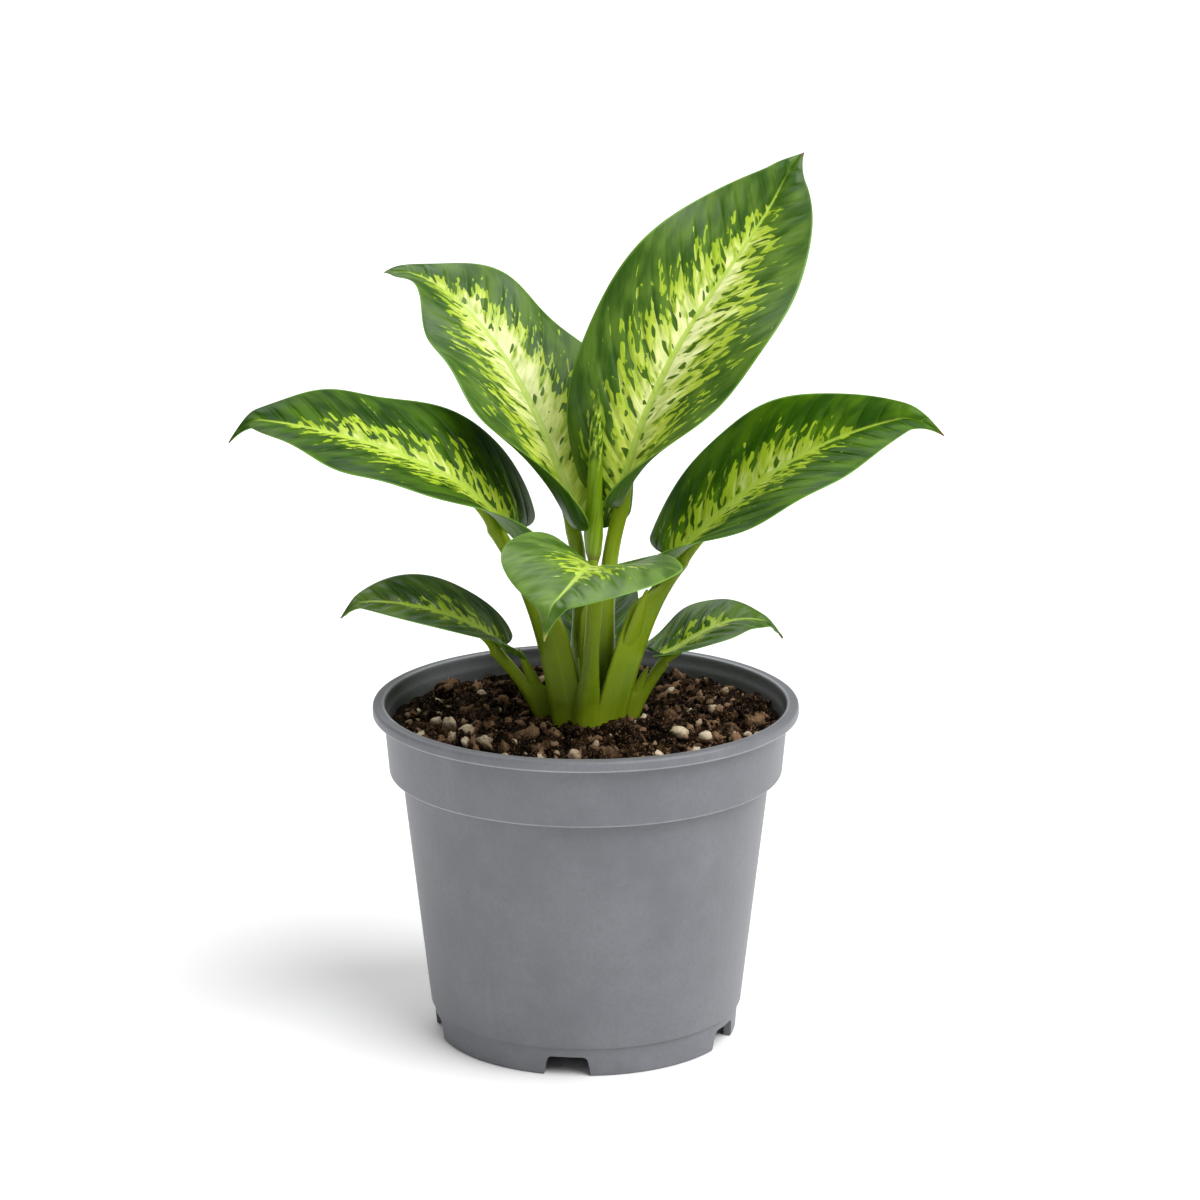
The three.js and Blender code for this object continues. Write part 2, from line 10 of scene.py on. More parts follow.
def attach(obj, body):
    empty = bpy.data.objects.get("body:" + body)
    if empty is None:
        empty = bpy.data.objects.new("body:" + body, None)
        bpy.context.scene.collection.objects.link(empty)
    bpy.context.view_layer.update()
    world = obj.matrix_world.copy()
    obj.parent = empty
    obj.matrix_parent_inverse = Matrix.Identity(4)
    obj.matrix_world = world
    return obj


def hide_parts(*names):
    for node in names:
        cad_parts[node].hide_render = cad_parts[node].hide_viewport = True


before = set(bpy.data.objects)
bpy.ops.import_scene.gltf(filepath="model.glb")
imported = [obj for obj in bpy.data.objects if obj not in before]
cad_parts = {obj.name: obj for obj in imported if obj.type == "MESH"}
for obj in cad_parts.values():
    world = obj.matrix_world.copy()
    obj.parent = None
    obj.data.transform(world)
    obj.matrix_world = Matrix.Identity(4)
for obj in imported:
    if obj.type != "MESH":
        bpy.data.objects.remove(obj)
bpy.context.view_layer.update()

# A young dieffenbachia in a grey nursery pot. Sizes are in millimetres, in the frame of the solids, and
# become metres as each piece is made. Only the stage is given in metres.

MM = 0.001

# ---- Sizes ----

POT_HEIGHT = 96.3
RIM_RADIUS = 60
RIM_BORE = 56.5
LIP_DEPTH = 3.1
BAND_TOP_RADIUS = 56.9
BAND_FOOT_RADIUS = 55.4
BAND_DEPTH = 20
BODY_TOP_RADIUS = 52
BODY_FOOT_RADIUS = 44.4
FOOT_RING_HEIGHT = 8.4
FOOT_TOP_RADIUS = 43.5
FOOT_RADIUS = 42.9
WALL = 1.5
FLOOR_UNDERSIDE = 6
FLOOR_THICKNESS = 2
POT_SIDES = 160
NOTCHES = 5
NOTCH_TURN = -97
NOTCH_HEIGHT = 5.7
NOTCH_TOP_WIDTH = 10.2
NOTCH_FOOT_WIDTH = 13.6
DRAIN_RADIUS = 3.5
DRAIN_CIRCLE = 31
NOTCH_CUT = 12
DRAIN_CUT = 4

SOIL_LEVEL = 90.5
SOIL_EDGE = 54.6
SOIL_HEAP = 1.2
HEAP_RADIUS = 22

SOIL_SIDES = 200
# The soil's side under its surface, as (radius, height) just inside the pot's wall, down to the pot's floor.
SOIL_WALL = [(54.6, 86), (53.4, 78.4), (50.2, 78.4), (42.6, 9.7), (41.4, 8.4)]

# Loose lumps have their middles within SCATTER_RADIUS and lie wholly between the other two.
SCATTER_RADIUS = 54.2
SCATTER_EDGE = 54.3
CROWN_EDGE = 9

# Grit that is seen best, as (x, y, half size): most of it lies front left.
GRIT = [
    (-38, -11, 2.5), (-33, -18, 2.4), (-28, -24, 2.1), (-33, -27, 1.9), (-42, -6, 1.8), (-37, -22, 1.6),
    (-27, -31, 1.8), (-22, -40, 1.5), (-15, -46, 2.4), (-13, -40, 1.4), (-3, -43, 2.3), (6, -47, 1.4),
    (20, -38, 1.5), (26, -18, 2.6), (33, -24, 1.9), (41, -22, 1.5), (40, -9, 1.4), (30, -34, 1.3),
    (-46, -17, 1.5), (-20, -26, 1.4), (13, -47, 1.6), (45, -17, 1.3), (-8, -34, 1.1), (36, 8, 1.5),
    (24, 26, 1.8), (-12, 35, 1.9), (-30, 22, 1.6), (5, 44, 1.7), (-42, 14, 1.4), (40, 26, 1.3),
]

# Two greens for each kind of blade, between which it is clouded outside its pale middle.
# They are copies of one leaf green, made for how the light falls on each leaf: SHADED_GREEN is darker,
# painted shade, for the leaf under the upper leaves and the leaf at the back, and UPPER_GREEN, LOW_GREEN and
# FRONT_GREEN carry painted sheen in their paler, greyer greens.
UPPER_GREEN = ((0.026, 0.082, 0.002), (0.088, 0.178, 0.012))
SHADED_GREEN = ((0.012, 0.046, 0.001), (0.050, 0.125, 0.002))
SIDE_GREEN = ((0.020, 0.074, 0.001), (0.072, 0.170, 0.002))
LOW_GREEN = ((0.020, 0.062, 0.003), (0.085, 0.155, 0.014))
FRONT_GREEN = ((0.050, 0.120, 0.008), (0.120, 0.220, 0.030))

# Each leaf has these values, with the left half's before the right half's where there are two:
# rib, the control points of its middle line, and hook, how far the tip bends off it
# roll, how the blade is turned about the rib at its foot and at its tip, in degrees
# width of each half, fold up from level, and curl of the lobe at the foot, in degrees
# lobes, how far the lobes reach back, and widest, where along the rib the blade is broadest
# wave, the height of the waves in the margin
# stalk, its control points, girth, how stout it is, and sheath, how far up it the sheath goes
# tooth, where the sheath's free tip ends, and tip, the tone of the blade's tip, if it isn't brown
# cream and cream_end, how far the pale middle reaches across and along, and pale, how light it gets
# green, one of the pairs above, and grain, how fine the mottle is
# quilt, the relief between the side veins, and gloss, the shine
LEAVES = {
    "upper_right": dict(
        rib=[(9, 6, 151), (16, 8, 176), (22, 16, 203), (56, 28, 225), (58, 42, 246)],
        hook=(4, 0, -1), roll=(41, 62), width=(25.5, 27.5), fold=(22, 41), curl=(-50, 90),
        lobes=0.1, widest=0.39, wave=1.9,
        stalk=[(5, 6, 78), (8, 7, 100), (2, 4, 125)], girth=1, sheath=0.68,
        cream=(0.5, 0.57), cream_end=0.93, pale=1.0, green=UPPER_GREEN, grain=1.15, quilt=0.08, gloss=0.3),
    "upper_left": dict(
        rib=[(-2, 10, 143.5), (-13, 22, 175), (-22, 44, 191), (-44, 52, 215), (-59, 56, 207)],
        hook=(1, 0, 1), roll=(0, -3), width=(25, 24), fold=(13, 30), curl=(125, 20),
        lobes=0.4, widest=0.19, wave=-2.8,
        stalk=[(-1, 6, 78), (-2, 8, 102), (0, 10, 131)], girth=1, sheath=0.4,
        cream=(0.5, 0.54), cream_end=0.93, pale=0.95, green=UPPER_GREEN, grain=1.25, quilt=0.08, gloss=0.3),
    "mid_left": dict(
        rib=[(-23.5, 4, 146), (-33, 3, 162), (-60, 2, 172), (-86, 0, 177), (-96, 0, 177)],
        hook=(-3, 0, -7), roll=(-21, -24), width=(27.5, 23.5), fold=(20, 21), curl=(70, -5),
        lobes=0.8, widest=0.14, wave=-1.3,
        stalk=[(-5, -5, 78), (-6, -4, 101), (-13, 3, 127)], girth=1, sheath=0.62, tooth=(-7.5, -3, 122),
        cream=(0.36, 0.34), cream_end=0.84, pale=0.75, green=SHADED_GREEN, grain=1.1, quilt=0.12, gloss=0.12),
    "mid_right": dict(
        rib=[(25.5, 11, 135), (36, 10, 146), (51, 8, 163), (73, 5, 175), (99, 4, 178)],
        hook=(1, 0, -7), roll=(29, 46), width=(20.5, 27), fold=(29, 29), curl=(-25, 65),
        lobes=0.65, widest=0.32, wave=0.7,
        stalk=[(3, -5, 78), (10, -4, 99), (14, 4, 120)], girth=1, sheath=0.78, tooth=(17, -2, 129),
        cream=(0.38, 0.34), cream_end=0.84, pale=0.48, green=SIDE_GREEN, grain=1.15, quilt=0.12, gloss=0.14),
    "front": dict(
        rib=[(3, -15, 138), (2, -30, 142), (2, -47, 151), (-5, -58, 142), (-11, -66, 139)],
        hook=(0, 0, -8), roll=(-13, 5), width=(25.5, 23), fold=(15, 15), curl=(45, 40),
        lobes=0.6, widest=0.32, wave=-0.2,
        stalk=[(0, -9.5, 78), (0, -10, 100), (3.5, -7, 131)], girth=0.95, sheath=0.3,
        cream=(0.34, 0.34), cream_end=0.75, pale=0.7, green=FRONT_GREEN, grain=1.35, quilt=0.08, gloss=0.3,
        tip=(0.45, 0.42, 0.1)),
    "lower_left": dict(
        rib=[(-24, 0, 112), (-29, -3, 119), (-41, -6, 125), (-56, -10, 129), (-67, -12, 127)],
        hook=(-1, 0, -4), roll=(-17, -26), width=(14, 13.5), fold=(21, 22), curl=(30, 25),
        lobes=0.9, widest=0.33, wave=0,
        stalk=[(-8, 1, 78), (-11, 1, 92), (-17, 1, 101)], girth=0.75, sheath=0.6, tooth=(-19, 0, 111.5),
        cream=(0.3, 0.26), cream_end=0.74, pale=0.3, green=LOW_GREEN, grain=1.9, quilt=0.34, gloss=0.36),
    "lower_right": dict(
        rib=[(22, 2, 109), (27, 3, 110), (33, 6, 116), (44, 10, 121), (56, 14, 113)],
        hook=(0, 0, -3), roll=(3, 21), width=(12.5, 12.5), fold=(18, 18), curl=(5, 35),
        lobes=0.9, widest=0.34, wave=-0.3,
        stalk=[(9, 0, 78), (11.5, 0, 91), (16, 0, 99)], girth=0.75, sheath=0.6, tooth=(17.5, 0, 106),
        cream=(0.32, 0.32), cream_end=0.75, pale=0.4, green=UPPER_GREEN, grain=1.6, quilt=0.28, gloss=0.3),
    "back": dict(
        rib=[(3, 18, 106), (3, 27, 112), (2, 40, 118), (2, 55, 118), (2, 66, 113)],
        hook=(0, 1, -3), roll=(0, 0), width=(13, 13), fold=(18, 18), curl=(25, 25),
        lobes=0.9, widest=0.33, wave=0.2,
        stalk=[(1, 9, 78), (1, 11, 92), (2, 13, 98)], girth=0.75, sheath=0.4,
        cream=(0.28, 0.28), cream_end=0.7, pale=0.5, green=SHADED_GREEN, grain=1.6, quilt=0.28, gloss=0.15),
}

# What all blades share. Places along the rib and widths are shares of the whole.
FIRST_WIDTH = 0.4  # at the foot
TAPER = 1.15  # how hollow the narrowing towards the tip is
FORWARD_SWEEP = 0.45  # how far the side veins lean towards the tip
SWEEP_LENGTH = 0.11  # how soon along the rib they reach that lean
CURL_LENGTH = 0.16  # how soon along the rib the curl fades
BOW = 18  # how far each half bends down towards its margin, in degrees
WAVES = 2.5
RIGHT_WAVE_LAG = 1.3
HOOK_START = 0.88
LOBE_ROUND = 0.03
BLADE_ROWS = 110
BLADE_COLUMNS = 61
HALF_THICK = 0.2
RIB_SWELL = 0.12
CHANNEL_DEPTH = 0.45
CHANNEL_REACH = 1.9
RIB_HEIGHT = 0.42
RIB_REACH = 0.75
VEIN_SPACING = 6.5
VEIN_SCALE = 100
MARGIN_LINE = (0.972, 0.992)
TIP_TONE = (0.16, 0.07, 0.02)

# Stalks: half widths across and out at foot and top, dark and light tones, sheath walls and keel.
STALK_FOOT = (4.8, 3)
STALK_TOP = (2.2, 2.2)
STALK_GREEN = ((0.10, 0.175, 0.001), (0.18, 0.27, 0.003))
# STALK_SHADED is a darker copy of the stalk green: painted shade for the stalks at the back of the bunch.
STALK_SHADED = ((0.05, 0.11, 0.001), (0.10, 0.18, 0.003))
SHEATH_WING = 6.2
FAR_WALL = 0.35
KEEL_REACH = 0.72
KEEL_END = 0.35
RIB_GAP = 0.3
TOOTH_LENGTH = 0.28
MARGIN_TURN = math.radians(50)

# The stage. Lamps are (name, turn to the right of the front, height, strength), in degrees.
LAMPS = (("key", 58, 53, 3.6), ("fill", -45, 45, 0.15), ("rim", 200, 58, 1.5))
LAMP_SPREAD = 55
WORLD_STRENGTH = 0.22
FLOOR_REACH = 30.0
CAMERA_PLACE = (0, -1.0816, 0.4107)
CAMERA_AIM = (0.004, 0, 0.1253)
CAMERA_LENS = 120

# ---- Making pieces ----


def unit(v):
    return v / np.maximum(np.linalg.norm(v, axis=-1, keepdims=True), 1e-12)


def square_to(a, b):
    """The part of each vector in a that is square to b, at unit length."""
    return unit(a - (a * b).sum(-1, keepdims=True) * b)


def bezier(points, t):
    level = [np.array(p, float)[None, :] + 0 * t[:, None] for p in points]
    while len(level) > 1:
        level = [a + (b - a) * t[:, None] for a, b in zip(level, level[1:])]
    return level[0]


def smoothstep(x, low, high):
    x = np.clip((x - low) / (high - low), 0, 1)
    return x * x * (3 - 2 * x)


def add_object(name, data):
    obj = bpy.data.objects.new(name, data)
    bpy.context.scene.collection.objects.link(obj)
    return obj


def piece(name, points, faces, materials, stands_for, uvs=None, marks=None, face_material=None):
    """One smooth mesh object, from points in millimetres.

    uvs hold a value for each point, and so do marks, unless it is one number for all of them.
    """
    mesh = bpy.data.meshes.new(name)
    mesh.from_pydata((np.asarray(points) * MM).tolist(), [], faces)
    for material in materials:
        mesh.materials.append(material)
    if face_material is not None:
        mesh.polygons.foreach_set("material_index", np.asarray(face_material, np.int32))
    mesh.shade_smooth()
    corners = np.zeros(len(mesh.loops), np.int32)
    mesh.loops.foreach_get("vertex_index", corners)
    for key, values in (uvs or {}).items():
        layer = mesh.uv_layers.new(name=key)
        layer.data.foreach_set("uv", np.asarray(values, np.float32)[corners].ravel())
    for key, values in (marks or {}).items():
        mark = mesh.attributes.new(key, "FLOAT", "POINT")
        mark.data.foreach_set("value", np.zeros(len(points), np.float32) + np.float32(values))
    mesh.update()
    obj = add_object(name, mesh)
    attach(obj, "root")
    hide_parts(*stands_for)
    return obj


def grid_faces(rows, columns, start=0, around=False, flip=False):
    """Quads over rows of points. around joins the last column to the first."""
    faces = []
    for i in range(rows - 1):
        for k in range(columns if around else columns - 1):
            a = start + i * columns + k
            b = start + i * columns + (k + 1) % columns
            quad = (a, b, b + columns, a + columns)
            faces.append(quad[::-1] if flip else quad)
    return faces


def closing_faces(rows, columns, start=0):
    """Quads that join the margins of two grids of points, of which the second follows the first."""
    count = rows * columns
    line = list(range(columns - 1))
    line += [i * columns + columns - 1 for i in range(rows - 1)]
    line += [(rows - 1) * columns + k for k in range(columns - 1, 0, -1)]
    line += [i * columns for i in range(rows - 1, 0, -1)]
    faces = []
    for i, p in enumerate(line):
        n = line[(i + 1) % len(line)]
        faces.append((start + p, start + p + count, start + n + count, start + n))
    return faces


def lathe(profile, sides):
    """Rings of points round Z, one for each (radius, height)."""
    turns = [2 * math.pi * k / sides for k in range(sides)]
    return [(r * math.cos(turn), r * math.sin(turn), z) for r, z in profile for turn in turns]


def end_faces(rings, sides):
    """The two flat ends of a tube of rings."""
    last = (rings - 1) * sides
    return [tuple(range(sides)), tuple(range(last, last + sides))[::-1]]


class Shader:
    """A small helper round a node material with one Principled shader."""

    def __init__(self, name):
        self.material = bpy.data.materials.new(name)
        self.material.use_nodes = True
        self.tree = self.material.node_tree
        self.main = self.tree.nodes["Principled BSDF"]

    def feed(self, socket, value):
        if isinstance(value, bpy.types.NodeSocket):
            self.tree.links.new(value, socket)
        elif isinstance(value, (tuple, list)) and len(value) == 3 and socket.type == "RGBA":
            socket.default_value = (*value, 1)
        else:
            socket.default_value = value

    def set(self, **sockets):
        for key, value in sockets.items():
            self.feed(self.main.inputs[key.replace("_", " ")], value)

    def add(self, kind, output=0, settings=None, **sockets):
        node = self.tree.nodes.new(kind)
        for key, value in (settings or {}).items():
            setattr(node, key, value)
        for key, value in sockets.items():
            self.feed(node.inputs[key.replace("_", " ")], value)
        return node.outputs[output]

    def split(self, vector):
        return self.add("ShaderNodeSeparateXYZ", Vector=vector).node.outputs[:]

    def uv(self, name):
        return self.split(self.add("ShaderNodeUVMap", 0, {"uv_map": name}))[:2]

    def place(self):
        return self.add("ShaderNodeTexCoord", "Object")

    def mark(self, name):
        return self.add("ShaderNodeAttribute", "Fac", {"attribute_name": name})

    def join(self, x, y, z=0.0):
        return self.add("ShaderNodeCombineXYZ", X=x, Y=y, Z=z)

    def scaled(self, x, x_scale, y, y_scale, z=0.0):
        """A place for a noise that is drawn out along x or y."""
        return self.join(self.times(x, x_scale), self.times(y, y_scale), z)

    def math(self, operation, a, b=0.0, c=0.0, clamp=False):
        node = self.tree.nodes.new("ShaderNodeMath")
        node.operation = operation
        node.use_clamp = clamp
        for socket, value in zip(node.inputs, (a, b, c)):
            self.feed(socket, value)
        return node.outputs[0]

    def times(self, a, b):
        return self.math("MULTIPLY", a, b)

    def plus(self, a, b):
        return self.math("ADD", a, b)

    def minus(self, a, b):
        return self.math("SUBTRACT", a, b)

    def absolute(self, a):
        return self.math("ABSOLUTE", a)

    def step(self, x, low, high, out_low=0.0, out_high=1.0):
        return self.add("ShaderNodeMapRange", 0, {"interpolation_type": "SMOOTHSTEP"}, Value=x,
                        From_Min=low, From_Max=high, To_Min=out_low, To_Max=out_high)

    def blend(self, share, a, b):
        node = self.tree.nodes.new("ShaderNodeMix")
        node.data_type = "RGBA"
        self.feed(node.inputs[0], share)
        self.feed(node.inputs[6], a)
        self.feed(node.inputs[7], b)
        return node.outputs[2]

    def noise(self, vector, scale, detail=3.0, roughness=0.5, distortion=0.0):
        return self.add("ShaderNodeTexNoise", "Fac", None, Vector=vector, Scale=scale, Detail=detail,
                        Roughness=roughness, Distortion=distortion)

    def bump(self, height, distance, strength=1.0, under=None):
        below = {} if under is None else {"Normal": under}
        return self.add("ShaderNodeBump", Strength=strength, Distance=distance, Height=height, **below)


# ---- Materials ----


def pot_material():
    """Grey moulded plastic, faintly clouded and scuffed, with painted highlight lines along its edges."""
    s = Shader("pot_plastic")
    where = s.place()
    cloud = s.noise(where, 34.0, 5.0, 0.68)
    fine = s.noise(where, 900.0, 2.0)
    streak = s.noise(s.add("ShaderNodeMapping", Vector=where, Scale=(90.0, 90.0, 9.0)), 1.0, 4.0, 0.65)
    tone = s.blend(s.step(cloud, 0.3, 0.7), (0.142, 0.146, 0.162), (0.182, 0.186, 0.203))
    tone = s.blend(s.step(streak, 0.55, 0.8, 0.0, 0.3), tone, (0.23, 0.235, 0.252))
    tone = s.blend(s.step(fine, 0.45, 0.7, 0.0, 0.25), tone, (0.12, 0.124, 0.138))
    x, y, z = s.split(where)
    radius = s.math("SQRT", s.plus(s.times(x, x), s.times(y, y)))
    # Painted highlight: thin lighter lines on the lip's outer foot edge, the band's foot edge and the rim's
    # inner top edge, where these edges catch the light.
    painted_edge_highlight = 0.0
    for r, height in ((RIM_RADIUS, POT_HEIGHT - LIP_DEPTH), (BAND_FOOT_RADIUS, POT_HEIGHT - BAND_DEPTH),
                      (RIM_BORE + 0.4, POT_HEIGHT)):
        off = s.plus(s.absolute(s.minus(radius, r * MM)), s.absolute(s.minus(z, height * MM)))
        painted_edge_highlight = s.math("MAXIMUM", painted_edge_highlight, s.step(off, 0.0002, 0.0007, 1.0, 0.0))
    tone = s.blend(s.times(painted_edge_highlight, s.step(cloud, 0.3, 0.7, 0.4, 0.8)), tone, (0.42, 0.43, 0.46))
    s.set(Base_Color=tone, Roughness=s.step(cloud, 0.25, 0.75, 0.4, 0.5), Specular_IOR_Level=0.4)
    s.set(Normal=s.bump(streak, 0.0004, 0.25, s.bump(fine, 0.00012, 0.5)))
    return s.material


def blade_places(s):
    """Where a point lies on a blade.

    t goes along the rib, across goes over it from 0 to 1, and a goes out from it. In millimetres, q is where
    the point's side vein leaves the rib and y is how far to the side it is. vein is how far off a vein it is.
    """
    t, across = s.uv("leaf")
    q, y = (s.times(place, VEIN_SCALE) for place in s.uv("veins"))
    a = s.absolute(s.math("MULTIPLY_ADD", across, 2.0, -1.0))
    vein = s.absolute(s.minus(s.math("FRACT", s.math("DIVIDE", q, VEIN_SPACING)), 0.5))
    return t, across, a, q, y, vein


def leaf_material(name, leaf, number):
    """A blade's upper side: green, with a pale middle that breaks up outwards in streaks along the veins."""
    s = Shader("leaf_" + name)
    t, across, a, q, y, vein = blade_places(s)
    y_out = s.absolute(y)
    side = s.math("GREATER_THAN", across, 0.5)

    # The mottle, from another part of the noises for each half of each leaf.
    q_side = s.plus(q, s.plus(s.times(side, 37.0), 100.0 * number))
    grain = leaf["grain"]
    coarse = s.noise(s.scaled(q_side, 0.33, y_out, 0.21), grain, 1.0, 0.5, 0.5)
    small = s.noise(s.scaled(q_side, 0.75, y_out, 0.48, 7.0), grain, 1.0, 0.5, 0.3)
    patch = s.noise(s.scaled(q_side, 0.15, y_out, 0.11, 13.0), 1.0, 1.0)
    dots = s.noise(s.scaled(q_side, 0.5, y_out, 0.3, 29.0), 1.0, 0.0, 0.5, 0.3)

    # field is how far inside the pale middle a point lies, and level adds the mottle to it.
    left, right = leaf["cream"]
    reach = s.math("MULTIPLY_ADD", side, right - left, left)
    fade = s.step(t, 0.42 * leaf["cream_end"], leaf["cream_end"])
    reach = s.times(reach, s.minus(1.0, s.times(fade, fade)))
    reach = s.minus(reach, s.step(t, 0.86 * leaf["cream_end"], leaf["cream_end"], 0.0, 0.4))
    field = s.minus(reach, a)
    field = s.plus(field, s.math("MULTIPLY_ADD", patch, 0.6, -0.3))
    level = s.plus(field, s.math("MULTIPLY_ADD", coarse, 1.5, -0.75))
    level = s.plus(level, s.math("MULTIPLY_ADD", small, 0.5, -0.25))
    cream = s.step(level, -0.01, 0.015)
    limit = s.step(field, 0.0, 0.5, 0.57, 0.67)
    spots = s.step(s.minus(dots, limit), 0.0, 0.012)
    cream = s.times(cream, s.minus(1.0, spots))

    # The pale middle is lime at its edge and in shallow patches, and nearly white by the rib.
    vein_line = s.step(vein, 0.0, 0.05, 1.0, 0.0)
    minor = s.noise(s.scaled(q_side, 1.5, y_out, 0.06, 3.0), 1.0, 2.0)
    lime = s.blend(s.step(minor, 0.35, 0.65), (0.26, 0.40, 0.012), (0.36, 0.50, 0.025))
    whiter = s.math("MULTIPLY_ADD", minor, 0.5, s.minus(field, 0.25))
    whiter = s.minus(whiter, s.step(t, 0.04, 0.36, 0.34, 0.0))
    pale = s.blend(s.step(whiter, 0.05, 0.5), (0.66, 0.77, 0.11), (0.92, 0.95, 0.50))
    tide = s.noise(s.scaled(q_side, 0.3, y_out, 0.2, 41.0), 1.0, 1.0)
    deep_in = s.math("MINIMUM", s.step(level, 0.03, 0.42), s.step(field, -0.12, 0.42))
    light = s.step(tide, 0.32, 0.62, leaf["pale"] - 0.45, leaf["pale"])
    deep_in = s.math("MULTIPLY", deep_in, light, clamp=True)
    inner = s.blend(deep_in, lime, pale)
    inner = s.blend(s.times(vein_line, 0.4), inner, (0.78, 0.84, 0.36))

    # The green around it is clouded, with paler veins and a soft glow next to the pale middle.
    cloud = s.noise(s.scaled(q_side, 0.12, y_out, 0.14, 11.0), 1.0, 2.0)
    # The pair carries the leaf's painted shade or painted sheen, as told with the pairs.
    deep, soft = leaf["green"]
    dark = s.blend(s.step(cloud, 0.35, 0.68), deep, soft)
    dark = s.blend(s.times(s.step(minor, 0.5, 0.75), 0.15), dark, (0.07, 0.15, 0.012))
    dark = s.blend(s.times(vein_line, 0.22), dark, (0.10, 0.19, 0.03))
    dark = s.blend(s.step(level, -0.12, -0.01, 0.0, 0.3), dark, (0.10, 0.20, 0.006))
    tone = s.blend(cream, dark, inner)

    # The rib narrows towards the tip. The margin is a thin pale line.
    rib_reach = s.math("MULTIPLY_ADD", t, -1.35, 1.6)
    rib = s.step(s.minus(y_out, rib_reach), -0.25, 0.2, 1.0, 0.0)
    rib = s.times(rib, s.step(t, 0.8, 0.98, 1.0, 0.0))
    tone = s.blend(s.times(rib, 0.85), tone, (0.40, 0.56, 0.06))
    margin = s.step(a, *MARGIN_LINE)
    tone = s.blend(s.times(margin, 0.75), tone, (0.16, 0.34, 0.035))
    tone = s.blend(s.step(t, 0.975, 0.995), tone, leaf.get("tip", TIP_TONE))

    # Low folds between the side veins, then fine fibres and cells.
    between = s.times(s.step(a, 0.0, 0.25), s.step(a, 0.5, 0.95, 1.0, 0.0))
    folds = s.bump(s.times(s.step(vein, 0.0, 0.24), between), 0.0008, 0.45)
    fibres = s.bump(minor, 0.0005, 0.12, folds)
    cells = s.bump(s.noise(s.join(q, y), 5.0, 2.0), 0.00012, 0.25, fibres)
    s.set(Base_Color=tone, Normal=cells, Roughness=s.step(cloud, 0.3, 0.7, 0.32, 0.44),
          Specular_IOR_Level=leaf["gloss"])
    return s.material


def underside_material():
    """A blade's lower side: a plainer green with pale veins, and the pale middle faintly seen."""
    s = Shader("leaf_underside")
    t, _, a, q, y, vein = blade_places(s)
    minor = s.noise(s.scaled(q, 1.2, s.absolute(y), 0.08), 1.0, 3.0, 0.55)
    vein_line = s.step(vein, 0.0, 0.09, 1.0, 0.0)
    tone = s.blend(s.step(minor, 0.35, 0.68), (0.036, 0.105, 0.006), (0.075, 0.17, 0.014))
    show = s.step(s.plus(a, s.times(minor, 0.4)), 0.45, 0.75, 1.0, 0.0)
    show = s.times(show, s.step(t, 0.35, 0.85, 0.5, 0.0))
    tone = s.blend(show, tone, (0.20, 0.34, 0.04))
    tone = s.blend(s.times(vein_line, 0.35), tone, (0.16, 0.27, 0.05))
    tone = s.blend(s.step(a, *MARGIN_LINE), tone, (0.2, 0.34, 0.03))
    s.set(Base_Color=tone, Roughness=0.45, Specular_IOR_Level=0.28)
    s.set(Normal=s.bump(vein_line, 0.0006, 0.5, s.bump(minor, 0.0004, 0.25)))
    return s.material


def stalk_material(name, dark, light):
    """Fibrous green with a thin pale margin. The sheath's walls are lighter, a painted sheen, and the stalk
    is darker low down and lighter upwards, painted shade among the crowded stalks at the crown.
    """
    s = Shader("stalk_" + name)
    turn, along = s.uv("stalk")
    where = s.place()
    fibre = s.noise(s.scaled(turn, 46.0, along, 2.2), 1.0, 4.0, 0.6)
    cloud = s.noise(where, 75.0, 3.0, 0.55)
    tone = s.blend(s.step(cloud, 0.32, 0.68), dark, light)
    tone = s.blend(s.step(fibre, 0.5, 0.75, 0.0, 0.5), tone, (0.27, 0.36, 0.02))
    tone = s.blend(s.step(fibre, 0.25, 0.45, 0.6, 0.0), tone, (0.045, 0.085, 0.001))
    # Painted shade and light: darker low down among the crowded stalks, lighter upwards.
    tone = s.blend(s.step(along, 0.1, 0.55, 0.0, 0.5), tone, (0.27, 0.38, 0.015))
    # Painted sheen: the sheath's walls are lighter, as their edges catch the light.
    wall = s.mark("wall")
    tone = s.blend(s.step(wall, 0.15, 0.9, 0.0, 0.4), tone, (0.26, 0.35, 0.015))
    edge = s.mark("edge")
    tone = s.blend(s.step(edge, 0.5, 0.85, 0.0, 0.2), tone, (0.16, 0.13, 0.02))
    tone = s.blend(s.step(edge, 0.86, 0.98, 0.0, 0.7), tone, (0.42, 0.48, 0.16))
    foot = s.mark("foot")
    tone = s.blend(s.times(foot, 0.4), tone, (0.20, 0.23, 0.015))
    s.set(Base_Color=tone)
    s.set(Roughness=s.step(cloud, 0.3, 0.7, 0.24, 0.36), Specular_IOR_Level=0.15)
    s.set(Normal=s.bump(fibre, 0.0004, 0.25))
    return s.material


def rolled_material():
    """The young leaf: plain green low down, mottled above, with a brown foot and a dark tip."""
    s = Shader("leaf_rolled")
    turn, along = s.uv("stalk")
    fibre = s.noise(s.scaled(turn, 26.0, along, 2.0), 1.0, 3.0, 0.6)
    patch = s.noise(s.scaled(turn, 11.0, along, 17.0, 4.0), 1.0, 2.0)
    tone = s.blend(s.step(fibre, 0.3, 0.7), (0.13, 0.24, 0.004), (0.26, 0.40, 0.012))
    mottled = s.times(s.step(patch, 0.5, 0.54), s.step(along, 0.52, 0.66))
    tone = s.blend(mottled, tone, (0.045, 0.11, 0.004))
    pale = s.times(s.step(patch, 0.44, 0.38), s.step(along, 0.5, 0.7))
    tone = s.blend(pale, tone, (0.50, 0.60, 0.12))
    tone = s.blend(s.step(along, 0.86, 0.97), tone, (0.06, 0.14, 0.006))
    tone = s.blend(s.step(along, 0.0, 0.1, 0.75, 0.0), tone, (0.14, 0.10, 0.02))
    s.set(Base_Color=tone, Roughness=0.38, Specular_IOR_Level=0.3)
    s.set(Normal=s.bump(fibre, 0.0005, 0.25))
    return s.material


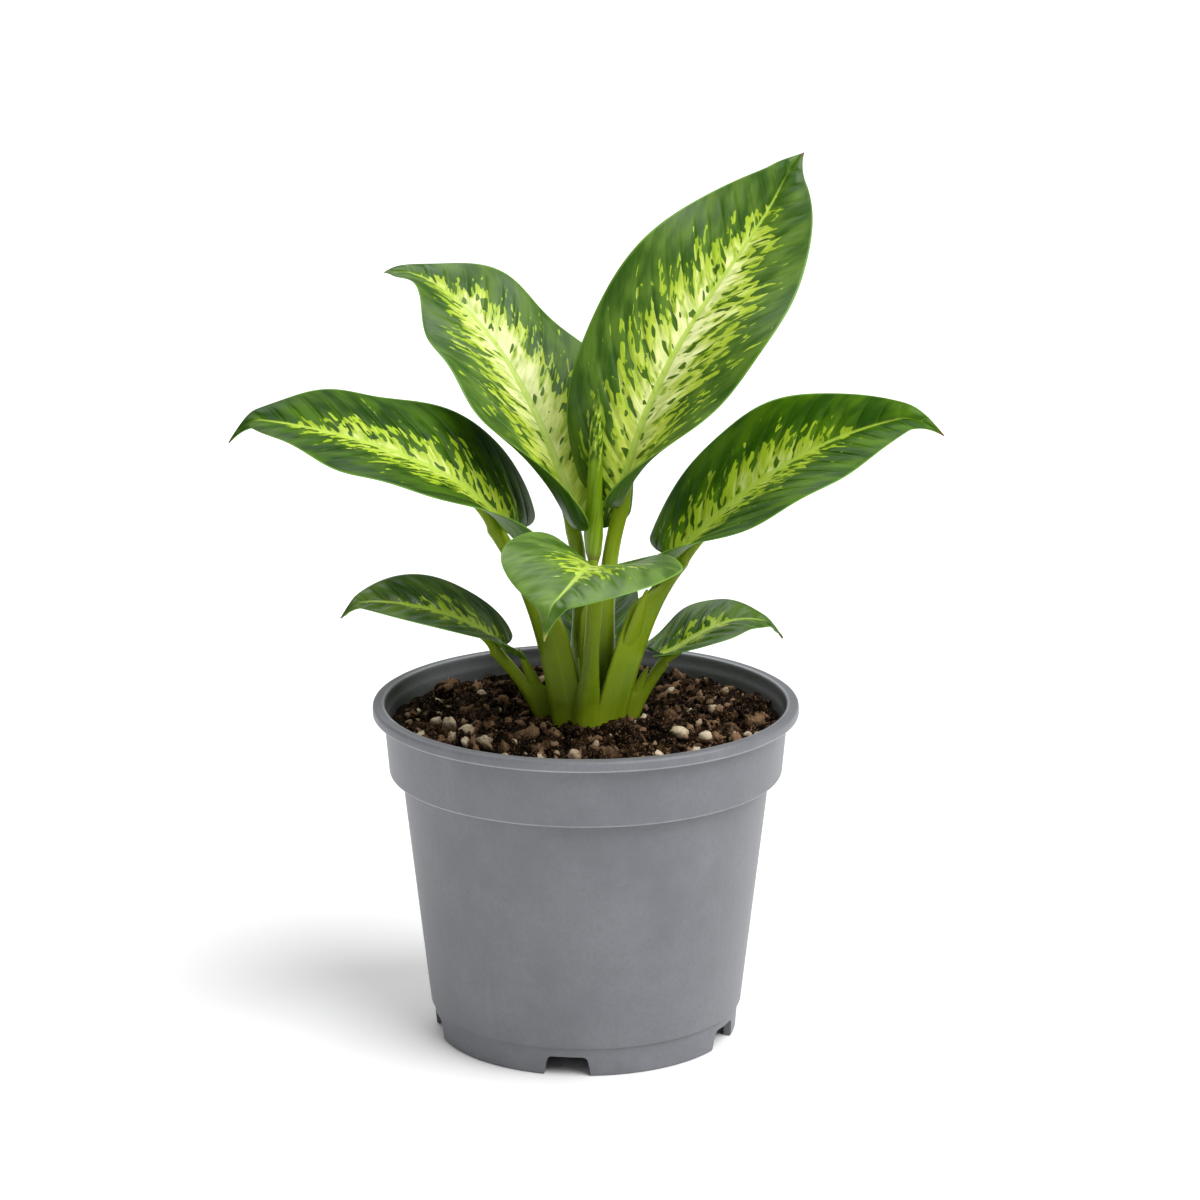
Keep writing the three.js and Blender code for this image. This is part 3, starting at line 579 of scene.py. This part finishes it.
def soil_material(name, dark, light, warm):
    """Crumbled soil with warm tops and nearly black hollows, by the mark tint and by noise.

    The tint is each lump's random tone times a painted top light: the warm tops are partly painted light, and
    the nearly black undersides and hollows partly painted shade.
    """
    s = Shader("soil_" + name)
    where = s.place()
    tint = s.mark("tint")
    coarse = s.noise(where, 420.0, 5.0, 0.7)
    fine = s.noise(where, 1500.0, 5.0, 0.75)
    tone = s.blend(s.step(coarse, 0.35, 0.68), dark, light)
    # Painted light: the warm tone where the tint is high, on the lit tops of the lighter lumps.
    tone = s.blend(s.step(tint, 0.35, 1.05, 0.0, 0.75), tone, warm)
    # Painted shade: nearly black where the tint is low, under each lump and on the bed's side. The darkest
    # lumps are also dark by their own tone.
    tone = s.blend(s.step(tint, 0.02, 0.2, 0.8, 0.0), tone, (0.003, 0.0015, 0.001))
    tone = s.blend(s.step(fine, 0.54, 0.64, 0.0, 0.65), tone, warm)
    tone = s.blend(s.step(fine, 0.62, 0.72, 0.0, 0.6), tone, (0.50, 0.33, 0.20))
    tone = s.blend(s.step(fine, 0.34, 0.46, 0.85, 0.0), tone, (0.004, 0.002, 0.001))
    s.set(Base_Color=tone, Roughness=0.85, Specular_IOR_Level=0.06)
    s.set(Normal=s.bump(fine, 0.0008, 0.9, s.bump(coarse, 0.0016, 0.9)))
    return s.material


def grit_material():
    """Pale and brown grit with dark pores, lighter on its tops as painted light."""
    s = Shader("soil_grit")
    where = s.place()
    tint = s.mark("tint")
    coarse = s.noise(where, 700.0, 4.0, 0.6)
    pores = s.noise(where, 1900.0, 3.0, 0.6)
    # The tint is each stone's random tone times a painted top light, so its paler tops are partly painted
    # light.
    tone = s.blend(s.step(tint, 0.0, 0.9), (0.26, 0.16, 0.09), (0.74, 0.62, 0.44))
    tone = s.blend(s.step(coarse, 0.48, 0.68, 0.0, 0.7), tone, (0.26, 0.15, 0.07))
    tone = s.blend(s.step(pores, 0.58, 0.68, 0.0, 0.8), tone, (0.08, 0.05, 0.03))
    s.set(Base_Color=tone, Roughness=0.75, Specular_IOR_Level=0.2)
    s.set(Normal=s.bump(pores, 0.0007, 0.7, s.bump(coarse, 0.001, 0.6)))
    return s.material


# ---- Pot ----


def rounded(corners):
    """A profile whose corners (radius, height, rounding) are replaced by small arcs."""
    points = []
    count = len(corners)
    for i, (r, z, size) in enumerate(corners):
        here = np.array([r, z], float)
        if size == 0:
            points.append(here)
            continue
        before = np.array(corners[i - 1][:2], float)
        after = np.array(corners[(i + 1) % count][:2], float)
        a = here + unit(before - here) * min(size, 0.49 * np.linalg.norm(before - here))
        b = here + unit(after - here) * min(size, 0.49 * np.linalg.norm(after - here))
        points.extend(bezier([a, here, b], np.linspace(0, 1, 5)))
    return points


def prism(name, outline, depth, place):
    """A closed prism: outline in its own X and Z, depth along its own -Y, then placed by a function."""
    points = [place(x, y, z) for y in (0, -depth) for x, z in outline]
    count = len(outline)
    faces = [tuple(range(count)), tuple(range(2 * count - 1, count - 1, -1))]
    for k in range(count):
        n = (k + 1) % count
        faces.append((k, k + count, n + count, n))
    mesh = bpy.data.meshes.new(name)
    mesh.from_pydata((np.array(points) * MM).tolist(), [], faces)
    bm = bmesh.new()
    bm.from_mesh(mesh)
    bmesh.ops.recalc_face_normals(bm, faces=bm.faces)
    bm.to_mesh(mesh)
    bm.free()
    return add_object(name, mesh)


def pot(material):
    """The pot, turned from one profile, with the notches in its foot and the drain holes cut out."""
    top = POT_HEIGHT
    lip_foot = top - LIP_DEPTH
    band_foot = top - BAND_DEPTH
    floor_top = FLOOR_UNDERSIDE + FLOOR_THICKNESS
    corners = [
        (0.01, FLOOR_UNDERSIDE, 0),
        (FOOT_RADIUS - 2, FLOOR_UNDERSIDE, 0.4),
        (FOOT_RADIUS - 2.2, 0, 0.4),
        (FOOT_RADIUS - 0.1, 0, 0.7),
        (FOOT_TOP_RADIUS, FOOT_RING_HEIGHT, 0.3),
        (BODY_FOOT_RADIUS - 0.1, FOOT_RING_HEIGHT, 0.7),
        (BODY_TOP_RADIUS, band_foot - 0.1, 0.8),
        (BAND_FOOT_RADIUS, band_foot, 0.7),
        (BAND_TOP_RADIUS, lip_foot, 0.5),
        (RIM_RADIUS, lip_foot, 0.5),
        (RIM_RADIUS, top, 1.3),
        (RIM_BORE, top, 0.9),
        (RIM_BORE - 0.4, lip_foot + 0.4, 1.2),
        (BAND_TOP_RADIUS - WALL, lip_foot - 1, 0.8),
        (BAND_FOOT_RADIUS - WALL, band_foot + WALL, 0.6),
        (BODY_TOP_RADIUS - WALL, band_foot + WALL, 0.6),
        (BODY_FOOT_RADIUS - WALL, floor_top, 1.2),
        (0.01, floor_top, 0),
    ]
    profile = rounded(corners)
    faces = grid_faces(len(profile), POT_SIDES, around=True)
    faces += [face[::-1] for face in end_faces(len(profile), POT_SIDES)]
    obj = piece("pot_shell", lathe(profile, POT_SIDES), faces, [material], ["pot"])

    half_foot, half_top = NOTCH_FOOT_WIDTH / 2, NOTCH_TOP_WIDTH / 2
    outline = [(-half_foot, -1), (half_foot, -1), (half_foot - 0.3, 0.6)]
    corner = [(half_top + 0.75, NOTCH_HEIGHT - 1.6), (half_top + 0.5, NOTCH_HEIGHT),
              (half_top - 1.1, NOTCH_HEIGHT)]
    outline += [tuple(p) for p in bezier(corner, np.linspace(0, 1, 6))]
    outline += [(-x, z) for x, z in outline[:1:-1]]
    cutters = []
    for i in range(NOTCHES):
        turn = math.radians(NOTCH_TURN + 360 / NOTCHES * i)
        c, s = math.cos(turn), math.sin(turn)
        reach = BODY_FOOT_RADIUS + 3

        def at_rim(x, y, z):
            return (c * (reach + y) + s * x, s * (reach + y) - c * x, z)

        cutters.append(prism("notch_cutter", outline, NOTCH_CUT, at_rim))
        ring = [(DRAIN_RADIUS * math.cos(w), DRAIN_RADIUS * math.sin(w))
                for w in np.linspace(0, 2 * math.pi, 24, endpoint=False)]

        def at_drain(x, y, z):
            return (c * DRAIN_CIRCLE + x, s * DRAIN_CIRCLE + z, FLOOR_UNDERSIDE + 3 + y)

        cutters.append(prism("drain_cutter", ring, DRAIN_CUT, at_drain))
    for cutter in cutters:
        cut = obj.modifiers.new("cut", "BOOLEAN")
        cut.operation = "DIFFERENCE"
        cut.solver = "EXACT"
        cut.object = cutter
        bpy.context.view_layer.objects.active = obj
        bpy.ops.object.modifier_apply(modifier=cut.name)
        bpy.data.objects.remove(cutter)
    obj.data.shade_smooth()
    obj.data.set_sharp_from_angle(angle=math.radians(38))


# ---- Leaves ----


def rib_point(leaf, t):
    hook = np.maximum(0, (t - HOOK_START) / (1 - HOOK_START)) ** 2
    return bezier(leaf["rib"], t) + hook[:, None] * np.array(leaf["hook"], float)


def rib_frame(leaf, t):
    """The rib's direction, the way the blade's upper side faces, and the way to its right half."""
    step = 1e-3
    along = unit(rib_point(leaf, np.minimum(1, t + step)) - rib_point(leaf, np.maximum(0, t - step)))
    level = square_to(np.array([[0.0, 0.0, 1.0]]) + 0 * along, along)
    roll = np.radians(leaf["roll"][0] + (leaf["roll"][1] - leaf["roll"][0]) * t)[:, None]
    face = level * np.cos(roll) + np.cross(along, level) * np.sin(roll)
    return along, face, np.cross(along, face)


def breadth(leaf, t):
    """The blade's share of its full half width at t."""
    widest = leaf["widest"]
    back = np.clip(1 - t / widest, 0, 1)
    rising = FIRST_WIDTH + (1 - FIRST_WIDTH) * np.sqrt(1 - back * back)
    ahead = np.clip((t - widest) / (1 - widest), 0, 1)
    falling = np.maximum(0, np.cos(np.pi / 2 * ahead)) ** TAPER
    share = np.where(t < widest, rising, falling)
    corner = np.clip(1 - t / LOBE_ROUND, 0, 1)
    return share * np.sqrt(1 - corner * corner)


def of_half(leaf, key, s):
    """The left half's value where s is below 0, and the right half's elsewhere."""
    return np.where(s >= 0, leaf[key][1], leaf[key][0])


def forward(leaf, t):
    """How far a side vein leans towards the tip, or back into a lobe, for each step to the side."""
    return FORWARD_SWEEP - (leaf["lobes"] + FORWARD_SWEEP) * np.exp(-t / SWEEP_LENGTH)


def blade_point(leaf, t, s):
    """Points of the blade's middle surface, for arrays t along the rib and s from margin to margin."""
    along, face, side = rib_frame(leaf, t)
    out = np.abs(s)
    share = breadth(leaf, t)
    width = of_half(leaf, "width", s) * share
    curl = of_half(leaf, "curl", s) * np.exp(-((t / CURL_LENGTH) ** 2))
    bend = np.radians(curl - BOW) * out
    slope = np.radians(of_half(leaf, "fold", s)) + bend / 2
    chord = width * out * np.sinc(bend / 2 / np.pi)
    ripple = leaf["wave"] * np.sin(2 * np.pi * WAVES * t + (s >= 0) * RIGHT_WAVE_LAG)
    lift = chord * np.sin(slope) + ripple * out * out * np.minimum(1, 1.2 * share)
    return (rib_point(leaf, t)
            + side * (np.sign(s) * chord * np.cos(slope))[:, None]
            + face * lift[:, None]
            + along * (width * forward(leaf, t) * out)[:, None])


def blade_normal(leaf, t, s):
    step = 0.012
    ta = np.clip(t, step, 1 - 2 * step)
    sa = np.clip(s, -1 + step, 1 - step)
    ahead = blade_point(leaf, ta + step, sa) - blade_point(leaf, ta - step, sa)
    across = blade_point(leaf, ta, sa + step) - blade_point(leaf, ta, sa - step)
    return unit(np.cross(across, ahead))


def rib_length(leaf, t):
    fine = np.linspace(0, 1, 400)
    points = rib_point(leaf, fine)
    run = np.concatenate([[0], np.cumsum(np.linalg.norm(np.diff(points, axis=0), axis=1))])
    return np.interp(t, fine, run)


def vein_place(leaf, t, s):
    """Where the side vein through a point leaves the rib, and the point's distance from the rib."""
    width = of_half(leaf, "width", s)
    y = width * breadth(leaf, t) * np.abs(s)
    x = rib_length(leaf, t) + y * forward(leaf, t)
    return x - (0.75 * y + 0.45 * y * y / width), y


def blade(name, leaf, upper, under):
    """A thin blade with a channel and a raised rib along its middle, and low quilting between its veins."""
    rows, columns = BLADE_ROWS, BLADE_COLUMNS
    first, last = 0.0015, 0.9965
    t = first + np.linspace(0, 1, rows) ** 1.35 * (last - first)
    s = np.linspace(-1, 1, columns)
    tt, ss = (m.ravel() for m in np.meshgrid(t, s, indexing="ij"))
    middle = blade_point(leaf, tt, ss)
    normal = blade_normal(leaf, tt, ss)
    q, y = vein_place(leaf, tt, ss)
    a = np.abs(ss)
    strong = (1 - tt) ** 0.6
    raised = RIB_HEIGHT * np.exp(-((y / RIB_REACH) ** 2))
    channel = raised - CHANNEL_DEPTH * np.exp(-((y / CHANNEL_REACH) ** 2))
    quilt = leaf["quilt"] * np.cos(2 * np.pi * q / VEIN_SPACING) * smoothstep(a, 0.05, 0.35)
    quilt *= 1 - smoothstep(a, 0.5, 0.95)
    shape = normal * (channel * strong + quilt)[:, None]
    thick = HALF_THICK + RIB_SWELL * np.exp(-((y / 3) ** 2)) * strong
    thick *= 1 - 0.55 * smoothstep(a, 0.93, 1.0)
    top = middle + shape + normal * thick[:, None]
    low = middle + shape - normal * thick[:, None]
    above = grid_faces(rows, columns)
    below = grid_faces(rows, columns, start=rows * columns, flip=True)
    margin = closing_faces(rows, columns)
    sides = [0] * len(above) + [1] * len(below) + [0] * len(margin)
    leaf_uv = np.stack([tt, ss * 0.5 + 0.5], 1)
    vein_uv = np.stack([q, np.sign(ss) * y], 1) / VEIN_SCALE
    piece("leaf_blade_" + name, np.concatenate([top, low]), above + below + margin, [upper, under],
          ["blade_" + name], face_material=sides,
          uvs={"leaf": np.concatenate([leaf_uv, leaf_uv]), "veins": np.concatenate([vein_uv, vein_uv])})


# ---- Stalks ----


def inward(leaf):
    """The level direction from the leaf back over its own stalk, on which side the sheath stands."""
    foot, head = leaf["stalk"][0], leaf["rib"][0]
    return unit(np.array([foot[0] - head[0], foot[1] - head[1], 0], float))


def section(side, back, wing, near):
    """Across and out of a stalk at one height: a rounded back, and two thin sheath walls round a channel.

    The wall on the near side, 1 or -1, is the high one. Also returns how close each point is to a margin of
    the sheath, and how far up the wall it stands.
    """
    turn = np.linspace(MARGIN_TURN, -math.pi - MARGIN_TURN, 45)
    w = np.linspace(-1, 1, 25)[1:-1]
    wing_out = wing * np.where(np.cos(turn) * near > 0, 1, FAR_WALL)
    wing_in = wing * np.where(w * near > 0, 1, FAR_WALL)
    wall = np.maximum(np.sin(turn), 0) / math.sin(MARGIN_TURN)
    across = np.cos(turn) * side
    out = np.sin(turn) * back + wing_out * wall
    thin = 0.3 * np.clip(wing, 0, 1)
    ellipse = back * np.sqrt(1 - (w * math.cos(MARGIN_TURN)) ** 2)
    channel = 0.2 * back + (back * math.sin(MARGIN_TURN) + wing_in - 0.2 * back) * np.abs(w) ** 3
    share = smoothstep(wing, 0.0, 1.2)
    across_in = w * (math.cos(MARGIN_TURN) * side - thin)
    out_in = ellipse + (channel - ellipse) * share
    wing_here = min(1.0, wing / 1.5)
    outer = back * math.sin(MARGIN_TURN) + wing_out - out
    inner = back * math.sin(MARGIN_TURN) + wing_in - out_in
    margin = np.concatenate([np.exp(-((outer / 0.45) ** 2)) * (wall > 0),
                             np.exp(-((inner / 0.6) ** 2)) * share]) * wing_here
    height = np.concatenate([wall, np.abs(w) ** 3]) * wing_here
    return np.concatenate([across, across_in]), np.concatenate([out, out_in]), margin, height


def stalk(name, leaf, material):
    """The stalk from its foot to the blade, with the sheath's two walls, and its keel under the rib."""
    steps, keel = 70, 26
    girth = leaf["girth"]
    _, face0, _ = rib_frame(leaf, np.array([0.0]))
    neck = STALK_TOP[1] * girth
    top = rib_point(leaf, np.array([0.0]))[0] - face0[0] * (RIB_GAP + neck)
    controls = [*leaf["stalk"], tuple(top)]
    u = np.linspace(0, 1, steps, endpoint=False)
    stout = 1 - smoothstep(u, 0.1, leaf["sheath"] + 0.25)
    wing = girth * SHEATH_WING * (1 - smoothstep(u, leaf["sheath"] - 0.1, leaf["sheath"] + 0.1))
    back = girth * (STALK_TOP[1] + (STALK_FOOT[1] - STALK_TOP[1]) * stout)
    side = girth * (STALK_TOP[0] + (STALK_FOOT[0] - STALK_TOP[0]) * stout)
    at = bezier(controls, u)
    along = unit(bezier(controls, u + 1e-3) - bezier(controls, u))
    front = inward(leaf)[None, :] + (face0 - inward(leaf)[None, :]) * (u ** 3)[:, None]
    t = np.linspace(0, KEEL_REACH, keel)
    size = neck + (KEEL_END - neck) * np.sqrt(t / KEEL_REACH)
    k_along, k_face, _ = rib_frame(leaf, t)
    sunk = 1 - 0.25 * smoothstep(t, 0.0, 0.15)
    at = np.concatenate([at, rib_point(leaf, t) - k_face * (RIB_GAP + sunk * size)[:, None]])
    along = np.concatenate([along, k_along])
    front = np.concatenate([front, k_face])
    wing = np.concatenate([wing, 0 * t])
    back = np.concatenate([back, size])
    side = np.concatenate([side, size])
    front = square_to(front, along)
    across = np.cross(along, front)
    near = 1 if across[0][1] < 0 else -1
    points, edge, wall, foot, uv = [], [], [], [], []
    length = len(at)
    for i in range(length):
        x, y, margin, height = section(side[i], back[i], wing[i], near)
        points.append(at[i] + front[i] * y[:, None] + across[i] * x[:, None])
        edge.append(margin)
        wall.append(height)
        ring = len(x)
        foot.append(np.full(ring, float(np.clip(1 - (at[i][2] - SOIL_LEVEL) / 14, 0, 1))))
        uv.append(np.stack([np.arange(ring) / ring, np.full(ring, i / length)], 1))
    faces = grid_faces(length, ring, around=True, flip=True) + end_faces(length, ring)
    marks = {"edge": np.concatenate(edge), "wall": np.concatenate(wall), "foot": np.concatenate(foot)}
    piece("stalk_" + name, np.concatenate(points), faces, [material], ["stalks"],
          uvs={"stalk": np.concatenate(uv)}, marks=marks)


def tooth(name, leaf, material):
    """The free tips of the sheath: two thin pointed tongues that go on from its walls."""
    controls = [*leaf["stalk"], tuple(rib_point(leaf, np.array([0.0]))[0])]
    girth = leaf["girth"]
    wide = inward(leaf)
    start = bezier(controls, np.array([leaf["sheath"] - TOOTH_LENGTH]))[0]
    tip = np.array(leaf["tooth"], float)
    along = unit(tip - start)
    out = square_to(wide, along)
    across = np.cross(along, out)
    near = 1 if across[1] < 0 else -1
    rows, columns = 30, 12
    points, edge, uv, faces = [], [], [], []
    for turn, reach in ((near, 1.0), (-near, 0.5)):
        root = start + wide * (girth * SHEATH_WING * 0.5) + across * (turn * girth * 2.2)
        end = start + (tip - start) * reach + across * (0.5 * turn)
        base = len(points)
        for half in (1, -1):
            for i in range(rows):
                u = i / (rows - 1)
                half_width = girth * 2.7 * (1 - u ** 2.4) ** 0.8 + 0.1
                for k in range(columns):
                    w = 2 * k / (columns - 1) - 1
                    cup = 0.5 * w * w * turn
                    p = root + (end - root) * u + out * (w * half_width)
                    points.append(p + across * (half * 0.25 * (1.2 - w * w) - cup))
                    edge.append(abs(w) ** 8)
                    uv.append((0.3 + 0.2 * k / columns, 0.4 + 0.3 * u))
        faces += grid_faces(rows, columns, start=base)
        faces += grid_faces(rows, columns, start=base + rows * columns, flip=True)
        faces += closing_faces(rows, columns, start=base)
    piece("sheath_" + name, points, faces, [material], ["stalks"], uvs={"stalk": uv},
          marks={"edge": edge, "wall": 1, "foot": 0})


def crown(material):
    """The short stem from which the stalks grow, mostly under the soil."""
    profile = [(0.01, 70), (6, 71), (9, 76), (9.5, 84), (9, 89), (6, 91), (0.01, 92)]
    sides = 48
    uv = [(k / sides, i / 6) for i in range(len(profile)) for k in range(sides)]
    piece("crown", lathe(profile, sides), grid_faces(len(profile), sides, around=True), [material],
          ["stalks"], uvs={"stalk": uv}, marks={"edge": 0, "wall": 0, "foot": 1})


def rolled(name, foot, tip, radii, material, stands_for):
    """A rolled-up sheet: a spiral section whose free edge winds up along the length."""
    foot, tip = np.array(foot, float), np.array(tip, float)
    along = unit(tip - foot)
    front = square_to(np.array([-0.5, -1, 0.0]), along)
    across = np.cross(along, front)
    rows, ring = 70, 44
    shares, sizes = zip(*radii)
    points, uv = [], []
    for i in range(rows):
        u = i / (rows - 1)
        size = float(np.interp(u, shares, sizes))
        for k in range(ring):
            f = k / ring
            angle = 2 * math.pi * (f + 0.5 * u)
            reach = size * (1 + 0.2 * (f - 0.5))
            out, over = math.sin(angle) * reach, math.cos(angle) * reach
            points.append(foot + (tip - foot) * u + front * out - across * over)
            uv.append((f, u))
    faces = grid_faces(rows, ring, around=True, flip=True) + end_faces(rows, ring)
    piece(name, points, faces, [material], [stands_for], uvs={"stalk": uv},
          marks={"edge": 0, "wall": 0, "foot": 0})


# ---- Soil ----


def soil_height(x, y):
    """The height of the soil's surface: a low heap round the crown, with rough ground and lumps."""
    heap = SOIL_HEAP * math.exp(-(x * x + y * y) / HEAP_RADIUS ** 2)
    rough = noise.fractal(Vector((x * 0.11, y * 0.11, 3.0)), 0.9, 2.1, 4)
    lumps = noise.fractal(Vector((x * 0.36, y * 0.36, 9.0)), 0.8, 2.1, 3)
    return SOIL_LEVEL - 0.6 + heap + 1.0 * rough + 0.9 * lumps


def soil_bed(material):
    """The soil under the loose lumps: an uneven top, and a plain side down to the pot's floor."""
    rings = 74
    flat = lathe([(SOIL_EDGE * (0.02 + 0.98 * i / (rings - 1)), 0) for i in range(rings)], SOIL_SIDES)
    points = [(x, y, soil_height(x, y)) for x, y, _ in flat] + lathe(SOIL_WALL, SOIL_SIDES)
    # Painted shade: the side's tint of 0 gives it the nearly black tone of the hollows.
    tint = [0.3] * len(flat) + [0.0] * (len(points) - len(flat))
    count = rings + len(SOIL_WALL)
    faces = grid_faces(count, SOIL_SIDES, around=True, flip=True) + end_faces(count, SOIL_SIDES)
    piece("soil_bed", points, faces, [material], ["soil"], marks={"tint": tint})


def lump_shape(subdivisions):
    """The points and faces of a unit ball of triangles."""
    bm = bmesh.new()
    bmesh.ops.create_icosphere(bm, subdivisions=subdivisions, radius=1.0)
    points = np.array([v.co[:] for v in bm.verts])
    faces = [tuple(v.index for v in f.verts) for f in bm.faces]
    bm.free()
    return points, faces


def turned(rng):
    """A random rotation matrix."""
    q = np.array([rng.gauss(0, 1) for _ in range(4)])
    w, x, y, z = q / np.linalg.norm(q)
    return np.array([
        [1 - 2 * (y * y + z * z), 2 * (x * y - z * w), 2 * (x * z + y * w)],
        [2 * (x * y + z * w), 1 - 2 * (x * x + z * z), 2 * (y * z - x * w)],
        [2 * (x * z - y * w), 2 * (y * z + x * w), 1 - 2 * (x * x + y * y)]])


def scatter(name, places, ball, roughness, material, seed):
    """Lumps of soil or grit. places holds (x, y, size, flatness, sink, tint) for each."""
    rng = random.Random(seed)
    shape, shape_faces = ball
    points, faces, tint = [], [], []
    for x, y, size, flat, sink, shade in places:
        stretch = np.array([1.15, rng.uniform(0.55, 0.9), flat])
        offset = Vector([rng.uniform(-50, 50) for _ in range(3)])
        swell = np.array([1 + roughness * noise.noise(Vector(p) * 1.5 + offset)
                          + 0.5 * roughness * noise.noise(Vector(p) * 3.4 + offset)
                          + 0.25 * roughness * noise.noise(Vector(p) * 7.7 + offset) for p in shape])
        local = (shape * swell[:, None] * stretch * size) @ turned(rng).T
        start = sum(len(p) for p in points)
        points.append(local + np.array([x, y, soil_height(x, y) - sink * size]))
        faces += [tuple(start + v for v in f) for f in shape_faces]
        # Painted light and shade: each lump is lighter on top and darker underneath, as light falls from
        # above, times its random tone.
        painted_top_light = np.clip(0.45 + 0.75 * local[:, 2] / (size * (0.4 + 0.6 * flat)), 0, 1.3)
        tint += list(shade * painted_top_light)
    piece(name, np.concatenate(points), faces, [material], ["soil"], marks={"tint": tint})


def soil_places(rng, count, smallest, largest, power, flat=(0.5, 0.95), sink=(0.0, 0.45)):
    """Random places for scatter. The higher the power, the more of the lumps are small."""
    places = []
    while len(places) < count:
        size = smallest + (largest - smallest) * rng.random() ** power
        r = SCATTER_RADIUS * math.sqrt(rng.random())
        angle = rng.uniform(0, 2 * math.pi)
        if r < CROWN_EDGE + size or r + size > SCATTER_EDGE:
            continue
        tint = rng.random() ** 2.6
        places.append((r * math.cos(angle), r * math.sin(angle), size,
                       rng.uniform(*flat), rng.uniform(*sink), tint))
    return places


# ---- Building the plant ----

pot(pot_material())

# Loose soil and grit, by how many lumps of each kind there are and their smallest and largest half size.
rng = random.Random(11)
bed = soil_material("bed", (0.003, 0.002, 0.001), (0.016, 0.009, 0.005), (0.07, 0.038, 0.019))
crumb = soil_material("crumb", (0.005, 0.0025, 0.001), (0.056, 0.028, 0.010), (0.42, 0.25, 0.14))
grit = grit_material()
soil_bed(bed)
scatter("soil_crumbs", soil_places(rng, 1150, 0.6, 3.0, 1.9), lump_shape(2), 1.0, crumb, 5)
scatter("soil_lumps", soil_places(rng, 150, 2.0, 3.6, 1.3), lump_shape(3), 1.1, crumb, 6)
scatter("soil_flakes", soil_places(rng, 260, 1.0, 2.6, 1.2, flat=(0.14, 0.3), sink=(-0.1, 0.2)),
        lump_shape(2), 0.6, crumb, 7)
pebbles = [(x, y, 0.95 * size, 0.85, -0.9, 0.4 + 0.6 * rng.random()) for x, y, size in GRIT]
scatter("soil_grit_stones", pebbles, lump_shape(3), 0.28, grit, 8)
scatter("soil_grit_specks", soil_places(rng, 260, 0.3, 1.4, 1.6, sink=(-0.9, 0.1)),
        lump_shape(2), 0.7, grit, 9)

stalk_green = stalk_material("green", *STALK_GREEN)
stalk_shaded = stalk_material("deep", *STALK_SHADED)
underside = underside_material()
crown(stalk_green)
# Painted shade: the stalks of the upper left and back leaves, at the back of the bunch, take the darker copy.
for number, (key, leaf) in enumerate(LEAVES.items(), 1):
    skin = stalk_shaded if key in ("upper_left", "back") else stalk_green
    stalk(key, leaf, skin)
    if "tooth" in leaf:
        tooth(key, leaf, skin)
    blade(key, leaf, leaf_material(key, leaf, number), underside)

# A short shoot, and the young leaf that stands on it, by foot, tip and (share of the length, radius).
rolled("shoot", (2, 1.4, 84), (2.1, 4.6, 136), [(0, 2.2), (1, 1.5)], stalk_green, "stalks")
rolled("leaf_rolled_up", (2.1, 4.6, 134.6), (3.4, 7.2, 184),
       [(0, 1.4), (0.06, 2.2), (0.16, 2.6), (0.27, 2.5), (0.4, 2.1), (0.75, 1.9), (0.9, 1.3), (1, 0.2)],
       rolled_material(), "rolled_leaf")

# ---- Stage ----


def stage():
    """A white floor, soft light from the right, and a camera that looks a little down from the front."""
    mesh = bpy.data.meshes.new("floor")
    far = FLOOR_REACH
    mesh.from_pydata([(-far, -far, 0), (far, -far, 0), (far, far, 0), (-far, far, 0)], [], [(0, 1, 2, 3)])
    s = Shader("floor_white")
    s.set(Base_Color=(0.93, 0.93, 0.93), Roughness=0.9, Specular_IOR_Level=0.1)
    mesh.materials.append(s.material)
    add_object("floor", mesh)

    world = bpy.data.worlds.new("studio")
    world.use_nodes = True
    background = world.node_tree.nodes["Background"]
    background.inputs[0].default_value = (1.0, 1.0, 1.0, 1)
    background.inputs[1].default_value = WORLD_STRENGTH
    bpy.context.scene.world = world

    for name, turn, height, strength in LAMPS:
        lamp = bpy.data.lights.new(name, "SUN")
        lamp.energy = strength
        lamp.angle = math.radians(LAMP_SPREAD)
        obj = add_object(name, lamp)
        turn, height = math.radians(turn), math.radians(height)
        level = math.cos(height)
        place = Vector((math.sin(turn) * level, -math.cos(turn) * level, math.sin(height)))
        obj.location = place * 2
        obj.rotation_euler = (-place).to_track_quat("-Z", "Y").to_euler()

    view = bpy.data.cameras.new("camera")
    view.lens = CAMERA_LENS
    view.sensor_width = 36
    view.clip_end = 50
    camera = add_object("camera", view)
    camera.location = CAMERA_PLACE
    aim = Vector(CAMERA_AIM) - camera.location
    camera.rotation_euler = aim.to_track_quat("-Z", "Y").to_euler()
    bpy.context.scene.camera = camera
    bpy.context.scene.view_settings.view_transform = "Standard"


stage()
